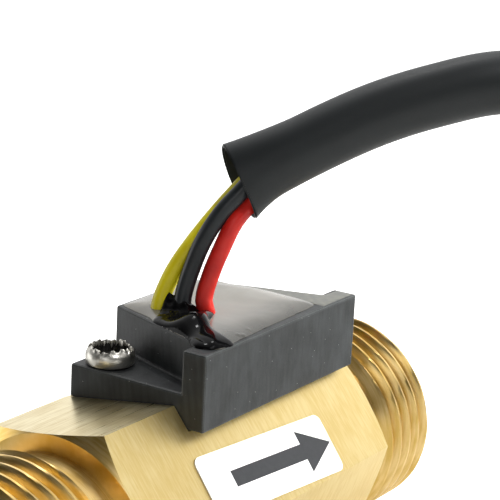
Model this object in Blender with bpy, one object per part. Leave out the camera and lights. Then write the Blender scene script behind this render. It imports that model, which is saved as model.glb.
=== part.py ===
# Water flow sensor with a brass hexagon body, half inch pipe threads and a potted
# pick-up housing on top. Blender 4.5, metres, +Z up.
#
# The pipe runs along X and water flows towards +X. The body lies on one flat of the
# hexagon at Z = 0. The housing, with all that is in it, leans by HOUSING_LEAN about the
# pipe's axis, so its pieces are placed in a frame of their own that has that lean.

import math

import bmesh
import bpy
from mathutils import Matrix, Vector
from mathutils.geometry import interpolate_bezier

MM = 0.001

# Fits
SEAT_GAP = 0.1 * MM  # between two pieces that touch
SHAFT_GAP = 0.05 * MM  # all round the axle, in its bushes and in the rotor
SPIN_GAP = 0.4 * MM  # between the rotor and what stands still at its ends
TIP_GAP = 0.6 * MM  # between the blades' tips and the bore
JOIN_STEP = 0.1 * MM  # keeps the faces of two joined shapes from falling together
CUT_MARGIN = 1.0 * MM  # how far a cutter runs past the face that it opens

# Brass body
BODY_LENGTH = 61.6 * MM
HEX_LENGTH = 38.7 * MM
HEX_FLATS = 21.7 * MM
HEX_CHAMFER = math.radians(30)
THREAD_DIAMETER = 20.95 * MM
THREAD_CHAMFER = 0.5 * MM
NECK_DIAMETER = 18.4 * MM
NECK_LENGTH = 2.8 * MM
BORE_DIAMETER = 14.4 * MM
OUTLET_DIAMETER = 12.0 * MM
BAR_MARGIN = 0.5 * MM  # of the turned bar beyond the hexagon's corners
MOUTH_CHAMFER = 0.6 * MM
SHOULDER_X = 15.5 * MM

# Cartridge in the bore, from the outlet to the inlet
SPIDER_LENGTH = 3.6 * MM
SPIDER_RIM = 0.9 * MM
SPIDER_RIB = 1.0 * MM
SPIDER_RIBS = 3
HUB_DIAMETER = 8.4 * MM
TAIL_LENGTH = 2.4 * MM
TAIL_SHARES = (0.8, 0.35)  # its radius halfway and at its end, of the hub's
AXLE_DIAMETER = 1.6 * MM
AXLE_EDGE = 0.15 * MM
AXLE_END = 0.3 * MM  # what is left of a bush beyond the axle's end
BUSH_DIAMETER = 3.2 * MM
BUSH_LENGTH = 2.6 * MM
ROTOR_LENGTH = 10.4 * MM
ROTOR_BLADES = 6
ROTOR_TWIST = math.radians(62)
ROTOR_SLICES = 10
BLADE_THICKNESS = 0.8 * MM
MAGNET_DIAMETER = 6.6 * MM
MAGNET_BORE = 3.4 * MM
MAGNET_LENGTH = 5.0 * MM
GUIDE_LENGTH = 15.0 * MM
GUIDE_NOSE = 4.0 * MM
GUIDE_RIM_LENGTH = 3.0 * MM
GUIDE_VANES = 4
GUIDE_TWIST = math.radians(75)
GUIDE_SLICES = 12
NOSE_STEPS = 6
VANE_THICKNESS = 0.9 * MM
RING_WIRE = 1.0 * MM
RING_DEPTH = 0.9 * MM  # how far the retaining ring stands in from the bore
RING_GROOVE = 0.5 * MM
RING_OPENING = math.radians(50)

# Sensor housing, in its own leaning frame with its origin on the pipe's axis
HOUSING_LEAN = math.radians(9.3)
HOUSING_X = 5.1 * MM  # its middle along the pipe
HOUSING_LENGTH = 26.2 * MM
HOUSING_WIDTH = 15.3 * MM
HOUSING_SEAT = 9.7 * MM
SHELF_TOP = 13.0 * MM
RIM_TOP = 17.1 * MM
POST_WIDTH = 2.6 * MM
POST_LENGTH = 2.4 * MM
CORNER_CUT = 6.85 * MM
HOUSING_EDGE = 0.2 * MM
TRAY_WALL = 1.2 * MM
TRAY_END = 5.6 * MM  # solid end of the tray on the outlet side
TRAY_FLOOR = 11.7 * MM
TRAY_CORNER = 1.5 * MM
SCREW_X = 2.4 * MM  # from the housing's end
SCREW_EDGE = 2.8 * MM  # from the housing's back edge
SCREW_DIAMETER = 2.5 * MM
SCREW_LENGTH = 5.0 * MM
HEAD_DIAMETER = 4.7 * MM
HEAD_HEIGHT = 1.9 * MM
HEAD_EDGE = ((0.35, 1.0), (0.8, 0.8), (1.0, 0.45))  # height and radius, of the head's
POINT_LENGTH = 0.4 * MM
POINT_SHARE = 0.7  # the point's radius, of the shank's

# Electronics
BOARD_THICKNESS = 1.0 * MM
BOARD_END_GAP = 0.6 * MM  # to the tray's wall at each end
BOARD_SIDE_GAP = 1.9 * MM  # to the tray's wall at each side
HALL_LENGTH = 4.0 * MM
HALL_WIDTH = 3.0 * MM
HALL_THICKNESS = 1.5 * MM
CHIP_LENGTH = 2.0 * MM
CHIP_WIDTH = 1.25 * MM
CHIP_HEIGHT = 0.6 * MM
CHIP_X = 7.1 * MM  # from the board's end on the inlet side
CHIP_Y = 1.2 * MM  # to each side of the board's middle
RESIN_CROWN = 0.3 * MM
SKIN_EDGE = 0.5 * MM  # how far the resin's skin stays back from the rim
SKIN_OVERLAP = 0.4 * MM
SKIN_CORNER = 4.5 * MM
GLUE_FILM = 0.5 * MM
GLUE_HEAPS = (  # place and radii of the heap round the roots and of the one at the front
    ((1.0 * MM, 1.2 * MM), (2.8 * MM, 3.9 * MM, 1.9 * MM)),
    ((-4.0 * MM, -4.5 * MM), (2.1 * MM, 2.1 * MM, 1.1 * MM)),
)
GLUE_GAP = 0.2 * MM  # between the glue and a wire
GLUE_STEP = 1.2 * MM
GLUE_DRILL = 5.0 * MM  # longer than the glue is high
DOME_SIDES = 20
DOME_RINGS = 12

# Cable
WIRE_DIAMETER = 1.7 * MM
SLEEVE_DIAMETER = 6.0 * MM
CORD_GAP = 0.3 * MM  # between the sleeve's end and a wire
WIRE_STEP = 2 * WIRE_DIAMETER
SLEEVE_STEP = SLEEVE_DIAMETER / 2
BARE_LENGTH = 12.0 * MM  # of the wires between the sleeve and the plug
BARE_STRAIGHT = 3.0 * MM  # their straight run at each end
BARE_STARTS = ((1.2 * MM, -0.6 * MM), (0.0, 1.0 * MM), (-1.2 * MM, -0.6 * MM))  # in the sleeve
PLUG_LENGTH = 11.0 * MM
PLUG_WIDTH = 9.8 * MM
PLUG_THICKNESS = 5.8 * MM
PLUG_PITCH = 2.5 * MM
PLUG_RIB = 0.8 * MM
RIB_START = 3.3 * MM  # from the plug's rear
PLUG_EDGE = 0.25 * MM
CAVITY_SIZE = 1.9 * MM
CONTACT_LENGTH = 6.0 * MM
CONTACT_WALL = 0.3 * MM
CRIMP_LENGTH = 2.0 * MM  # the solid end that holds the wire
WIRE_IN_PLUG = 3.0 * MM

# Label on the flat that faces the front
LABEL_LENGTH = 20.0 * MM
LABEL_HEIGHT = 6.0 * MM
LABEL_THICKNESS = 0.12 * MM
LABEL_GAP = 0.03 * MM
LABEL_CORNER = 0.8 * MM
LABEL_TURN = math.radians(-3.7)
LABEL_X = 0.15 * MM
LABEL_DROP = 2.5 * MM  # below the middle of the flat

# How finely round shapes are drawn
ROUND_STEPS = 64
FINE_STEPS = 32
DRILL_STEPS = 16
CORNER_STEPS = 6
HUB_STEPS = 3
WIRE_STEPS = 2
SLEEVE_STEPS = 3
SHARP_ANGLE = math.radians(35)
BEVEL_ANGLE = math.radians(40)

BORE_RADIUS = BORE_DIAMETER / 2
AXIS_HEIGHT = HEX_FLATS / 2


# Shared helpers


def linear(channel):
    """One sRGB channel from 0 to 1 as linear light."""
    return channel / 12.92 if channel <= 0.04045 else ((channel + 0.055) / 1.055) ** 2.4


def material(name, colour, roughness, metallic=0.0):
    """A Principled material from a six-digit sRGB colour."""
    made = bpy.data.materials.new(name)
    made.use_nodes = True
    shader = made.node_tree.nodes["Principled BSDF"]
    channels = [linear(int(colour[i : i + 2], 16) / 255) for i in (0, 2, 4)]
    shader.inputs["Base Color"].default_value = (*channels, 1.0)
    shader.inputs["Roughness"].default_value = roughness
    shader.inputs["Metallic"].default_value = metallic
    made.diffuse_color = (*channels, 1.0)
    return made


def frame(name, parent=None, location=(0, 0, 0), rotation=(0, 0, 0)):
    """An empty that carries the pieces of one group."""
    empty = bpy.data.objects.new(name, None)
    bpy.context.scene.collection.objects.link(empty)
    empty.parent = parent
    empty.location = location
    empty.rotation_euler = rotation
    return empty


def piece(name, bm, made_of, parent, location=(0, 0, 0), rotation=(0, 0, 0)):
    """An object from a bmesh, with smooth round faces and sharp corners."""
    bmesh.ops.recalc_face_normals(bm, faces=bm.faces)
    mesh = bpy.data.meshes.new(name)
    bm.to_mesh(mesh)
    bm.free()
    mesh.shade_smooth()
    mesh.set_sharp_from_angle(angle=SHARP_ANGLE)
    obj = bpy.data.objects.new(name, mesh)
    bpy.context.scene.collection.objects.link(obj)
    obj.parent = parent
    obj.location = location
    obj.rotation_euler = rotation
    if made_of:
        mesh.materials.append(made_of)
    return obj


def tool(name, bm, parent, location=(0, 0, 0), rotation=(0, 0, 0)):
    """A hidden shape that a Boolean uses."""
    obj = piece(name, bm, None, parent, location, rotation)
    obj.hide_render = True
    obj.display_type = "WIRE"
    return obj


def boolean(obj, other, operation="DIFFERENCE"):
    made = obj.modifiers.new(other.name, "BOOLEAN")
    made.solver = "EXACT"
    made.operation = operation
    made.object = other


def bevel(obj, width, segments=2):
    made = obj.modifiers.new("edges", "BEVEL")
    made.width = width
    made.segments = segments
    made.limit_method = "ANGLE"
    made.angle_limit = BEVEL_ANGLE


def revolved(profile, steps=ROUND_STEPS, sweep=2 * math.pi):
    """A body turned about X from (x, radius) points, closed where no radius is zero."""
    bm = bmesh.new()
    whole = sweep > 1.999 * math.pi
    turns = [sweep * i / steps for i in range(steps if whole else steps + 1)]
    rings = []
    for x, radius in profile:
        around = turns if radius > 0 else turns[:1]
        rings.append(
            [bm.verts.new((x, radius * math.cos(a), radius * math.sin(a))) for a in around]
        )
    closed = all(radius > 0 for _, radius in profile)
    following = rings[1:] + (rings[:1] if closed else [])
    for ring, other in zip(rings, following):
        for i in range(steps):
            j = (i + 1) % len(turns)
            corners = [ring[i % len(ring)], ring[j % len(ring)]]
            corners += [other[j % len(other)], other[i % len(other)]]
            bm.faces.new(list(dict.fromkeys(corners)))
    if not whole:
        for end in (0, -1):
            bm.faces.new([ring[end] for ring in rings])
    return bm


def tube_profile(low, high, inner, outer):
    """The section of a ring from low to high along X."""
    return [(low, inner), (low, outer), (high, outer), (high, inner)]


def rod_profile(low, high, radius, edge=0.0):
    """The half section of a solid rod from low to high along X, with its corners cut by edge."""
    if not edge:
        return [(low, 0.0), (low, radius), (high, radius), (high, 0.0)]
    front = [(low, 0.0), (low, radius - edge), (low + edge, radius)]
    return [*front, (high - edge, radius), (high, radius - edge), (high, 0.0)]


def prism(outline, low, high):
    """A body from a closed XY outline, standing from low to high."""
    bm = bmesh.new()
    base = bm.faces.new([bm.verts.new((x, y, low)) for x, y in outline])
    raised = bmesh.ops.extrude_face_region(bm, geom=[base])["geom"]
    moved = [v for v in raised if isinstance(v, bmesh.types.BMVert)]
    bmesh.ops.translate(bm, vec=(0, 0, high - low), verts=moved)
    return bm


def block(low, high):
    """A box between two corners."""
    corners = [(low[0], low[1]), (high[0], low[1]), (high[0], high[1]), (low[0], high[1])]
    return prism(corners, low[2], high[2])


def rounded(corners, steps=CORNER_STEPS):
    """A closed outline from (x, y, radius) corners, each rounded to its radius."""
    outline = []
    for i, (x, y, radius) in enumerate(corners):
        here = Vector((x, y))
        before = (Vector(corners[i - 1][:2]) - here).normalized()
        after = (Vector(corners[(i + 1) % len(corners)][:2]) - here).normalized()
        half = before.angle(after) / 2
        reach = radius / math.tan(half)
        centre = here + (before + after).normalized() * radius / math.sin(half)
        start = here + before * reach - centre
        end = here + after * reach - centre
        turn = math.remainder(
            math.atan2(end.y, end.x) - math.atan2(start.y, start.x), 2 * math.pi
        )
        for k in range(steps + 1):
            spoke = Matrix.Rotation(turn * k / steps, 2) @ start
            outline.append(tuple(centre + spoke))
    return outline


def smooth(route, step, closed=False):
    """Points about step apart on one smooth curve through the route's points."""
    points = [Vector(p).to_3d() for p in route]
    last = len(points) - 1
    count = last + 1 if closed else last
    curve = []
    for i in range(count):
        j = (i + 1) % (last + 1)
        before = points[i - 1] if i or closed else points[i]
        beyond = points[(j + 1) % (last + 1)] if j < last or closed else points[j]
        reach = (points[j] - points[i]).length / 3
        out = (points[j] - before).normalized() * reach
        back = (beyond - points[i]).normalized() * reach
        parts = max(2, round((points[j] - points[i]).length / step) + 1)
        handles = (points[i] + out, points[j] - back)
        curve += interpolate_bezier(points[i], *handles, points[j], parts)[:-1]
    return curve if closed else [*curve, points[-1]]


def cord(name, points, diameter, resolution, made_of, parent):
    """A plain tube along the points."""
    data = bpy.data.curves.new(name, "CURVE")
    data.dimensions = "3D"
    data.bevel_depth = diameter / 2
    data.bevel_resolution = resolution
    data.use_fill_caps = True
    spline = data.splines.new("POLY")
    spline.points.add(len(points) - 1)
    for point, place in zip(spline.points, points):
        point.co = (*place, 1.0)
    data.materials.append(made_of)
    obj = bpy.data.objects.new(name, data)
    bpy.context.scene.collection.objects.link(obj)
    obj.parent = parent
    return obj


def star(low, high, hub, tip, thickness, count, twist, slices):
    """A hub with radial blades, extruded along X from low to high while it turns."""
    half_root = math.asin(thickness / 2 / hub)
    half_tip = math.asin(thickness / 2 / tip)
    pitch = 2 * math.pi / count
    section = []
    for blade in range(count):
        middle = blade * pitch
        section += [(hub, middle - half_root), (tip, middle - half_tip)]
        section += [(tip, middle + half_tip), (hub, middle + half_root)]
        gap = pitch - 2 * half_root
        section += [
            (hub, middle + half_root + gap * k / HUB_STEPS) for k in range(1, HUB_STEPS)
        ]
    bm = bmesh.new()
    rings = []
    for k in range(slices + 1):
        share = k / slices
        turn = twist * share
        rings.append(
            [
                bm.verts.new(
                    (low + (high - low) * share, r * math.cos(a + turn), r * math.sin(a + turn))
                )
                for r, a in section
            ]
        )
    for ring, other in zip(rings, rings[1:]):
        for i in range(len(section)):
            j = (i + 1) % len(section)
            bm.faces.new([ring[i], ring[j], other[j], other[i]])
    bm.faces.new(rings[0])
    bm.faces.new(rings[-1])
    return bm


for old in list(bpy.data.objects):
    bpy.data.objects.remove(old)

brass = material("turned_brass", "C9A85A", 0.32, 1.0)
acetal = material("white_acetal", "E6E4DC", 0.45)
rotor_plastic = material("black_acetal", "26282A", 0.5)
ferrite = material("ferrite_magnet", "4A4A4C", 0.6)
steel = material("stainless_steel", "B9BBBD", 0.3, 1.0)
bronze = material("sintered_bronze", "9C7A4B", 0.5, 1.0)
nickel = material("nickel_plating", "C9C7C0", 0.22, 1.0)
abs_black = material("black_housing_plastic", "3A3D40", 0.55)
board_green = material("board_laminate", "2F6B3C", 0.5)
chip_black = material("moulded_epoxy", "1C1C1E", 0.45)
chip_tan = material("ceramic", "9A7B5B", 0.5)
resin = material("potting_resin", "8C8A84", 0.12)
glue_black = material("black_glue", "0F0F11", 0.08)
pvc_yellow = material("yellow_wire", "D0C72F", 0.4)
pvc_black = material("black_wire", "2B2E30", 0.4)
pvc_red = material("red_wire", "C8312B", 0.4)
pvc_sleeve = material("sleeve_rubber", "2F3739", 0.5)
nylon = material("white_nylon", "E9E6DA", 0.5)
tin = material("tinned_bronze", "C5C3BC", 0.3, 1.0)
paper = material("label_paper", "F2F1EC", 0.6)

# Brass body: a turned and bored bar, milled where the housing seats

pipe = frame("pipe_axis", location=(0, 0, AXIS_HEIGHT))
housing_frame = frame("housing_frame", pipe, rotation=(HOUSING_LEAN, 0, 0))

HALF = BODY_LENGTH / 2
HEX_HALF = HEX_LENGTH / 2
HEX_RADIUS = HEX_FLATS / 2
CORNER_RADIUS = HEX_RADIUS / math.cos(math.pi / 6)
BAR_RADIUS = CORNER_RADIUS + BAR_MARGIN
CHAMFER_RUN = (BAR_RADIUS - HEX_RADIUS) * math.tan(HEX_CHAMFER)
THREAD_RADIUS = THREAD_DIAMETER / 2
NECK_RADIUS = NECK_DIAMETER / 2
OUTLET_RADIUS = OUTLET_DIAMETER / 2
NECK_END = HEX_HALF + NECK_LENGTH

SPIDER_REAR = SHOULDER_X - SEAT_GAP
SPIDER_FRONT = SPIDER_REAR - SPIDER_LENGTH
ROTOR_REAR = SPIDER_FRONT - SPIN_GAP
ROTOR_FRONT = ROTOR_REAR - ROTOR_LENGTH
GUIDE_REAR = ROTOR_FRONT - SPIN_GAP
GUIDE_FRONT = GUIDE_REAR - GUIDE_LENGTH
RING_REAR = GUIDE_FRONT - SEAT_GAP
RING_FRONT = RING_REAR - RING_WIRE
GROOVE_RADIUS = BORE_RADIUS + RING_GROOVE


def outside_half(side):
    """The body's outside from its middle to one end."""
    return [
        (side * (HEX_HALF - CHAMFER_RUN), BAR_RADIUS),
        (side * HEX_HALF, HEX_RADIUS),
        (side * HEX_HALF, NECK_RADIUS),
        (side * NECK_END, NECK_RADIUS),
        (side * (NECK_END + THREAD_CHAMFER), THREAD_RADIUS),
        (side * (HALF - THREAD_CHAMFER), THREAD_RADIUS),
        (side * HALF, THREAD_RADIUS - THREAD_CHAMFER),
    ]


bore = [
    (HALF, OUTLET_RADIUS + MOUTH_CHAMFER),
    (HALF - MOUTH_CHAMFER, OUTLET_RADIUS),
    (SHOULDER_X, OUTLET_RADIUS),
    (SHOULDER_X, BORE_RADIUS),
    (RING_REAR + SEAT_GAP, BORE_RADIUS),
    (RING_REAR + SEAT_GAP, GROOVE_RADIUS),
    (RING_FRONT - SEAT_GAP, GROOVE_RADIUS),
    (RING_FRONT - SEAT_GAP, BORE_RADIUS),
    (-HALF + MOUTH_CHAMFER, BORE_RADIUS),
    (-HALF, BORE_RADIUS + MOUTH_CHAMFER),
]
body = piece(
    "brass_body", revolved(outside_half(-1)[::-1] + outside_half(1) + bore), brass, pipe
)
hexagon = [
    (CORNER_RADIUS * math.cos(a), CORNER_RADIUS * math.sin(a))
    for a in (math.pi / 3 * k for k in range(6))
]
flats = tool(
    "hexagon_flats",
    prism(hexagon, -BODY_LENGTH, BODY_LENGTH),
    pipe,
    rotation=(math.pi / 2, 0, math.pi / 2),
)
boolean(body, flats, "INTERSECT")

FRONT_Y = -HOUSING_WIDTH / 2
BACK_Y = HOUSING_WIDTH / 2
LEFT_X = HOUSING_X - HOUSING_LENGTH / 2
RIGHT_X = HOUSING_X + HOUSING_LENGTH / 2
pad = tool(
    "pad_cut",
    block(
        (LEFT_X - SEAT_GAP, -BODY_LENGTH, HOUSING_SEAT - SEAT_GAP),
        (RIGHT_X + SEAT_GAP, BODY_LENGTH, RIM_TOP),
    ),
    housing_frame,
)
boolean(body, pad)

SCREW_Y = BACK_Y - SCREW_EDGE
SCREW_TIP = SHELF_TOP - SCREW_LENGTH
SCREW_PLACES = {
    "inlet_housing_screw": LEFT_X + SCREW_X,
    "outlet_housing_screw": RIGHT_X - SCREW_X,
}
screw_holes = []
for name, x in SCREW_PLACES.items():
    hole = tool(
        name + "_hole",
        revolved(
            rod_profile(SCREW_TIP - 2 * SEAT_GAP, RIM_TOP, SCREW_DIAMETER / 2 + SEAT_GAP), FINE_STEPS
        ),
        housing_frame,
        location=(x, SCREW_Y, 0),
        rotation=(0, -math.pi / 2, 0),
    )
    boolean(body, hole)
    screw_holes.append(hole)

# Outlet support: three ribs that carry the rear bush

BUSH_RADIUS = BUSH_DIAMETER / 2
BUSH_POCKET = BUSH_RADIUS + SEAT_GAP
POCKET_DEPTH = BUSH_LENGTH + SEAT_GAP
HUB_RADIUS = HUB_DIAMETER / 2
RIM_RADIUS = BORE_RADIUS - SEAT_GAP
RIM_INNER = RIM_RADIUS - SPIDER_RIM
RIB_TIP = RIM_RADIUS - SPIDER_RIM / 2

support = piece(
    "outlet_support",
    revolved(tube_profile(SPIDER_FRONT, SPIDER_REAR, RIM_INNER, RIM_RADIUS)),
    acetal,
    pipe,
)
ribs = star(
    SPIDER_FRONT + JOIN_STEP,
    SPIDER_REAR - JOIN_STEP,
    HUB_RADIUS,
    RIB_TIP,
    SPIDER_RIB,
    SPIDER_RIBS,
    0.0,
    1,
)
boolean(support, tool("support_ribs", ribs, pipe), "UNION")
tail = [
    (SPIDER_FRONT, 0.0),
    (SPIDER_FRONT, HUB_RADIUS - JOIN_STEP),
    (SPIDER_REAR - JOIN_STEP, HUB_RADIUS - JOIN_STEP),
    (SPIDER_REAR + TAIL_LENGTH / 2, HUB_RADIUS * TAIL_SHARES[0]),
    (SPIDER_REAR + TAIL_LENGTH, HUB_RADIUS * TAIL_SHARES[1]),
    (SPIDER_REAR + TAIL_LENGTH, 0.0),
]
boolean(support, tool("support_tail", revolved(tail, FINE_STEPS), pipe), "UNION")
rear_pocket = rod_profile(SPIDER_FRONT - SPIN_GAP, SPIDER_FRONT + POCKET_DEPTH, BUSH_POCKET)
boolean(support, tool("rear_bush_pocket", revolved(rear_pocket, FINE_STEPS), pipe))

# Flow guide: a bullet with helical vanes that makes the water spin, held by its rim

guide = piece(
    "flow_guide",
    star(
        GUIDE_FRONT + JOIN_STEP,
        GUIDE_REAR,
        HUB_RADIUS,
        RIB_TIP,
        VANE_THICKNESS,
        GUIDE_VANES,
        GUIDE_TWIST,
        GUIDE_SLICES,
    ),
    acetal,
    pipe,
)
nose_radius = HUB_RADIUS - JOIN_STEP
nose = [(GUIDE_FRONT + GUIDE_NOSE, 0.0), (GUIDE_FRONT + GUIDE_NOSE, nose_radius)]
nose += [
    (GUIDE_FRONT - GUIDE_NOSE * math.sin(a), nose_radius * math.cos(a))
    for a in (math.pi / 2 * k / NOSE_STEPS for k in range(NOSE_STEPS))
]
nose.append((GUIDE_FRONT - GUIDE_NOSE, 0.0))
boolean(guide, tool("guide_nose", revolved(nose, FINE_STEPS), pipe), "UNION")
guide_rim = tube_profile(GUIDE_FRONT, GUIDE_FRONT + GUIDE_RIM_LENGTH, RIM_INNER, RIM_RADIUS)
boolean(guide, tool("guide_rim", revolved(guide_rim), pipe), "UNION")
front_pocket = rod_profile(GUIDE_REAR - POCKET_DEPTH, GUIDE_REAR + SPIN_GAP, BUSH_POCKET)
boolean(guide, tool("front_bush_pocket", revolved(front_pocket, FINE_STEPS), pipe))

ring_profile = tube_profile(
    RING_FRONT, RING_REAR, BORE_RADIUS - RING_DEPTH, GROOVE_RADIUS - SEAT_GAP
)
piece(
    "retaining_ring",
    revolved(ring_profile, sweep=2 * math.pi - RING_OPENING),
    steel,
    pipe,
    rotation=(RING_OPENING / 2 - math.pi / 2, 0, 0),
)

# Turbine: the rotor, its ring magnet and the axle turn together between two bushes

AXLE_RADIUS = AXLE_DIAMETER / 2
MAGNET_OUTER = MAGNET_DIAMETER / 2
MAGNET_INNER = MAGNET_BORE / 2
MAGNET_REAR = ROTOR_REAR - SEAT_GAP
MAGNET_FRONT = MAGNET_REAR - MAGNET_LENGTH

for name, low in (
    ("inlet_bush", GUIDE_REAR - BUSH_LENGTH),
    ("outlet_bush", SPIDER_FRONT),
):
    section = tube_profile(low, low + BUSH_LENGTH, AXLE_RADIUS + SHAFT_GAP, BUSH_RADIUS)
    piece(name, revolved(section, FINE_STEPS), bronze, pipe)

rotor_frame = frame("rotor_axis", pipe)
rotor = piece(
    "turbine_rotor",
    star(
        ROTOR_FRONT,
        ROTOR_REAR,
        HUB_RADIUS,
        BORE_RADIUS - TIP_GAP,
        BLADE_THICKNESS,
        ROTOR_BLADES,
        -ROTOR_TWIST,
        ROTOR_SLICES,
    ),
    rotor_plastic,
    rotor_frame,
)
axle_hole = rod_profile(ROTOR_FRONT - SPIN_GAP, ROTOR_REAR + SPIN_GAP, AXLE_RADIUS + SHAFT_GAP)
boolean(rotor, tool("axle_hole", revolved(axle_hole, FINE_STEPS), rotor_frame))
magnet_pocket = tube_profile(
    MAGNET_FRONT - SEAT_GAP, ROTOR_REAR + SPIN_GAP, MAGNET_INNER - SEAT_GAP, MAGNET_OUTER + SEAT_GAP
)
boolean(rotor, tool("magnet_pocket", revolved(magnet_pocket, FINE_STEPS), rotor_frame))
magnet_section = tube_profile(MAGNET_FRONT, MAGNET_REAR, MAGNET_INNER, MAGNET_OUTER)
piece("ring_magnet", revolved(magnet_section, FINE_STEPS), ferrite, rotor_frame)
axle_low = GUIDE_REAR - BUSH_LENGTH + AXLE_END
axle_high = SPIDER_FRONT + BUSH_LENGTH - AXLE_END
axle_section = rod_profile(axle_low, axle_high, AXLE_RADIUS, AXLE_EDGE)
piece("rotor_axle", revolved(axle_section, FINE_STEPS), steel, rotor_frame)

# Housing: a tray with two low shelves for the screws, behind a wall of full length

CUT_RUN = CORNER_CUT - POST_LENGTH
CUT_RISE = HOUSING_WIDTH - POST_WIDTH
CUT_SLOPE = CUT_RUN / CUT_RISE
POST_Y = FRONT_Y + POST_WIDTH
upper = [
    (LEFT_X, FRONT_Y),
    (RIGHT_X, FRONT_Y),
    (RIGHT_X, POST_Y),
    (RIGHT_X - POST_LENGTH, POST_Y),
    (RIGHT_X - CORNER_CUT, BACK_Y),
    (LEFT_X + CORNER_CUT, BACK_Y),
    (LEFT_X + POST_LENGTH, POST_Y),
    (LEFT_X, POST_Y),
]
housing = piece(
    "sensor_housing", prism(upper, HOUSING_SEAT, RIM_TOP), abs_black, housing_frame
)
shelf = block((LEFT_X, FRONT_Y, HOUSING_SEAT), (RIGHT_X, BACK_Y, SHELF_TOP))
boolean(housing, tool("screw_shelves", shelf, housing_frame), "UNION")
bevel(housing, HOUSING_EDGE)

WALL_ALONG = TRAY_WALL * math.hypot(1, CUT_SLOPE)


def cut_x(y):
    """Where the slanting wall's outer face is along the pipe, on the inlet side."""
    return LEFT_X + POST_LENGTH + (y - POST_Y) * CUT_SLOPE


def tray_outline(clearance):
    """The tray's inside, drawn in by a clearance."""
    front = FRONT_Y + TRAY_WALL + clearance
    back = BACK_Y - TRAY_WALL - clearance
    inset = WALL_ALONG + clearance * math.hypot(1, CUT_SLOPE)
    right = RIGHT_X - TRAY_END - clearance
    return rounded(
        [
            (cut_x(front) + inset, front, TRAY_CORNER),
            (right, front, TRAY_CORNER),
            (right, back, TRAY_CORNER),
            (cut_x(back) + inset, back, TRAY_CORNER),
        ]
    )


tray = prism(tray_outline(0.0), TRAY_FLOOR, RIM_TOP + CUT_MARGIN)
boolean(housing, tool("tray_cut", tray, housing_frame))

HALL_X = (MAGNET_FRONT + MAGNET_REAR) / 2
HALL_TOP = TRAY_FLOOR
HALL_BOTTOM = HALL_TOP - HALL_THICKNESS
well = block(
    (
        HALL_X - HALL_LENGTH / 2 - SEAT_GAP,
        -HALL_WIDTH / 2 - SEAT_GAP,
        HALL_BOTTOM - SEAT_GAP,
    ),
    (HALL_X + HALL_LENGTH / 2 + SEAT_GAP, HALL_WIDTH / 2 + SEAT_GAP, TRAY_FLOOR + CUT_MARGIN),
)
boolean(housing, tool("hall_well", well, housing_frame))
for hole in screw_holes:
    boolean(housing, hole)

for name, x in SCREW_PLACES.items():
    head_base = SHELF_TOP + SEAT_GAP
    head_radius = HEAD_DIAMETER / 2
    shank = SCREW_DIAMETER / 2
    screw = [
        (SCREW_TIP, 0.0),
        (SCREW_TIP, shank * POINT_SHARE),
        (SCREW_TIP + POINT_LENGTH, shank),
        (head_base, shank),
        (head_base, head_radius),
    ]
    screw += [(head_base + HEAD_HEIGHT * up, head_radius * out) for up, out in HEAD_EDGE]
    screw.append((head_base + HEAD_HEIGHT, 0.0))
    piece(
        name,
        revolved(screw, FINE_STEPS),
        nickel,
        housing_frame,
        location=(x, SCREW_Y, 0),
        rotation=(0, -math.pi / 2, 0),
    )

# Board, pick-up chip and resin in the tray

BOARD_LOW = TRAY_FLOOR + SEAT_GAP
BOARD_HIGH = BOARD_LOW + BOARD_THICKNESS
BOARD_BACK = BACK_Y - TRAY_WALL - BOARD_SIDE_GAP
BOARD_RIGHT = RIGHT_X - TRAY_END - BOARD_END_GAP
BOARD_LEFT = cut_x(BOARD_BACK) + WALL_ALONG + BOARD_END_GAP
board = block(
    (BOARD_LEFT, -BOARD_BACK, BOARD_LOW), (BOARD_RIGHT, BOARD_BACK, BOARD_HIGH)
)
piece("circuit_board", board, board_green, housing_frame)
hall = block(
    (HALL_X - HALL_LENGTH / 2, -HALL_WIDTH / 2, HALL_BOTTOM),
    (HALL_X + HALL_LENGTH / 2, HALL_WIDTH / 2, HALL_TOP),
)
piece("hall_chip", hall, chip_black, housing_frame)
CHIP_LOW = BOARD_HIGH + SEAT_GAP
CHIP_HIGH = CHIP_LOW + CHIP_HEIGHT
CHIP_START = BOARD_LEFT + CHIP_X - CHIP_LENGTH / 2
CHIP_END = CHIP_START + CHIP_LENGTH
for name, y, colour in (
    ("filter_capacitor", -CHIP_Y, chip_tan),
    ("pull_up_resistor", CHIP_Y, chip_black),
):
    chip = block(
        (CHIP_START, y - CHIP_WIDTH / 2, CHIP_LOW),
        (CHIP_END, y + CHIP_WIDTH / 2, CHIP_HIGH),
    )
    piece(name, chip, colour, housing_frame)

SKIN_LOW = RIM_TOP + SEAT_GAP
SKIN_HIGH = SKIN_LOW + RESIN_CROWN
fill = piece(
    "potting_resin",
    prism(tray_outline(SEAT_GAP), BOARD_LOW, SKIN_LOW + RESIN_CROWN / 2),
    resin,
    housing_frame,
)
skin_front = FRONT_Y + SKIN_EDGE
skin_back = BACK_Y - SKIN_EDGE
skin_right = RIGHT_X - TRAY_END + SKIN_OVERLAP
skin_outline = rounded(
    [
        (cut_x(skin_front) + SKIN_EDGE, skin_front, TRAY_CORNER),
        (skin_right, skin_front, SKIN_CORNER),
        (skin_right, skin_back, TRAY_CORNER),
        (cut_x(skin_back) + SKIN_EDGE, skin_back, TRAY_CORNER / 2),
    ]
)
skin = tool("resin_skin", prism(skin_outline, SKIN_LOW, SKIN_HIGH), housing_frame)
boolean(fill, skin, "UNION")
pocket = block(
    (BOARD_LEFT - SEAT_GAP, -BOARD_BACK - SEAT_GAP, BOARD_LOW - CUT_MARGIN),
    (BOARD_RIGHT + SEAT_GAP, BOARD_BACK + SEAT_GAP, BOARD_HIGH + SEAT_GAP),
)
boolean(fill, tool("board_pocket", pocket, housing_frame))
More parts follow.
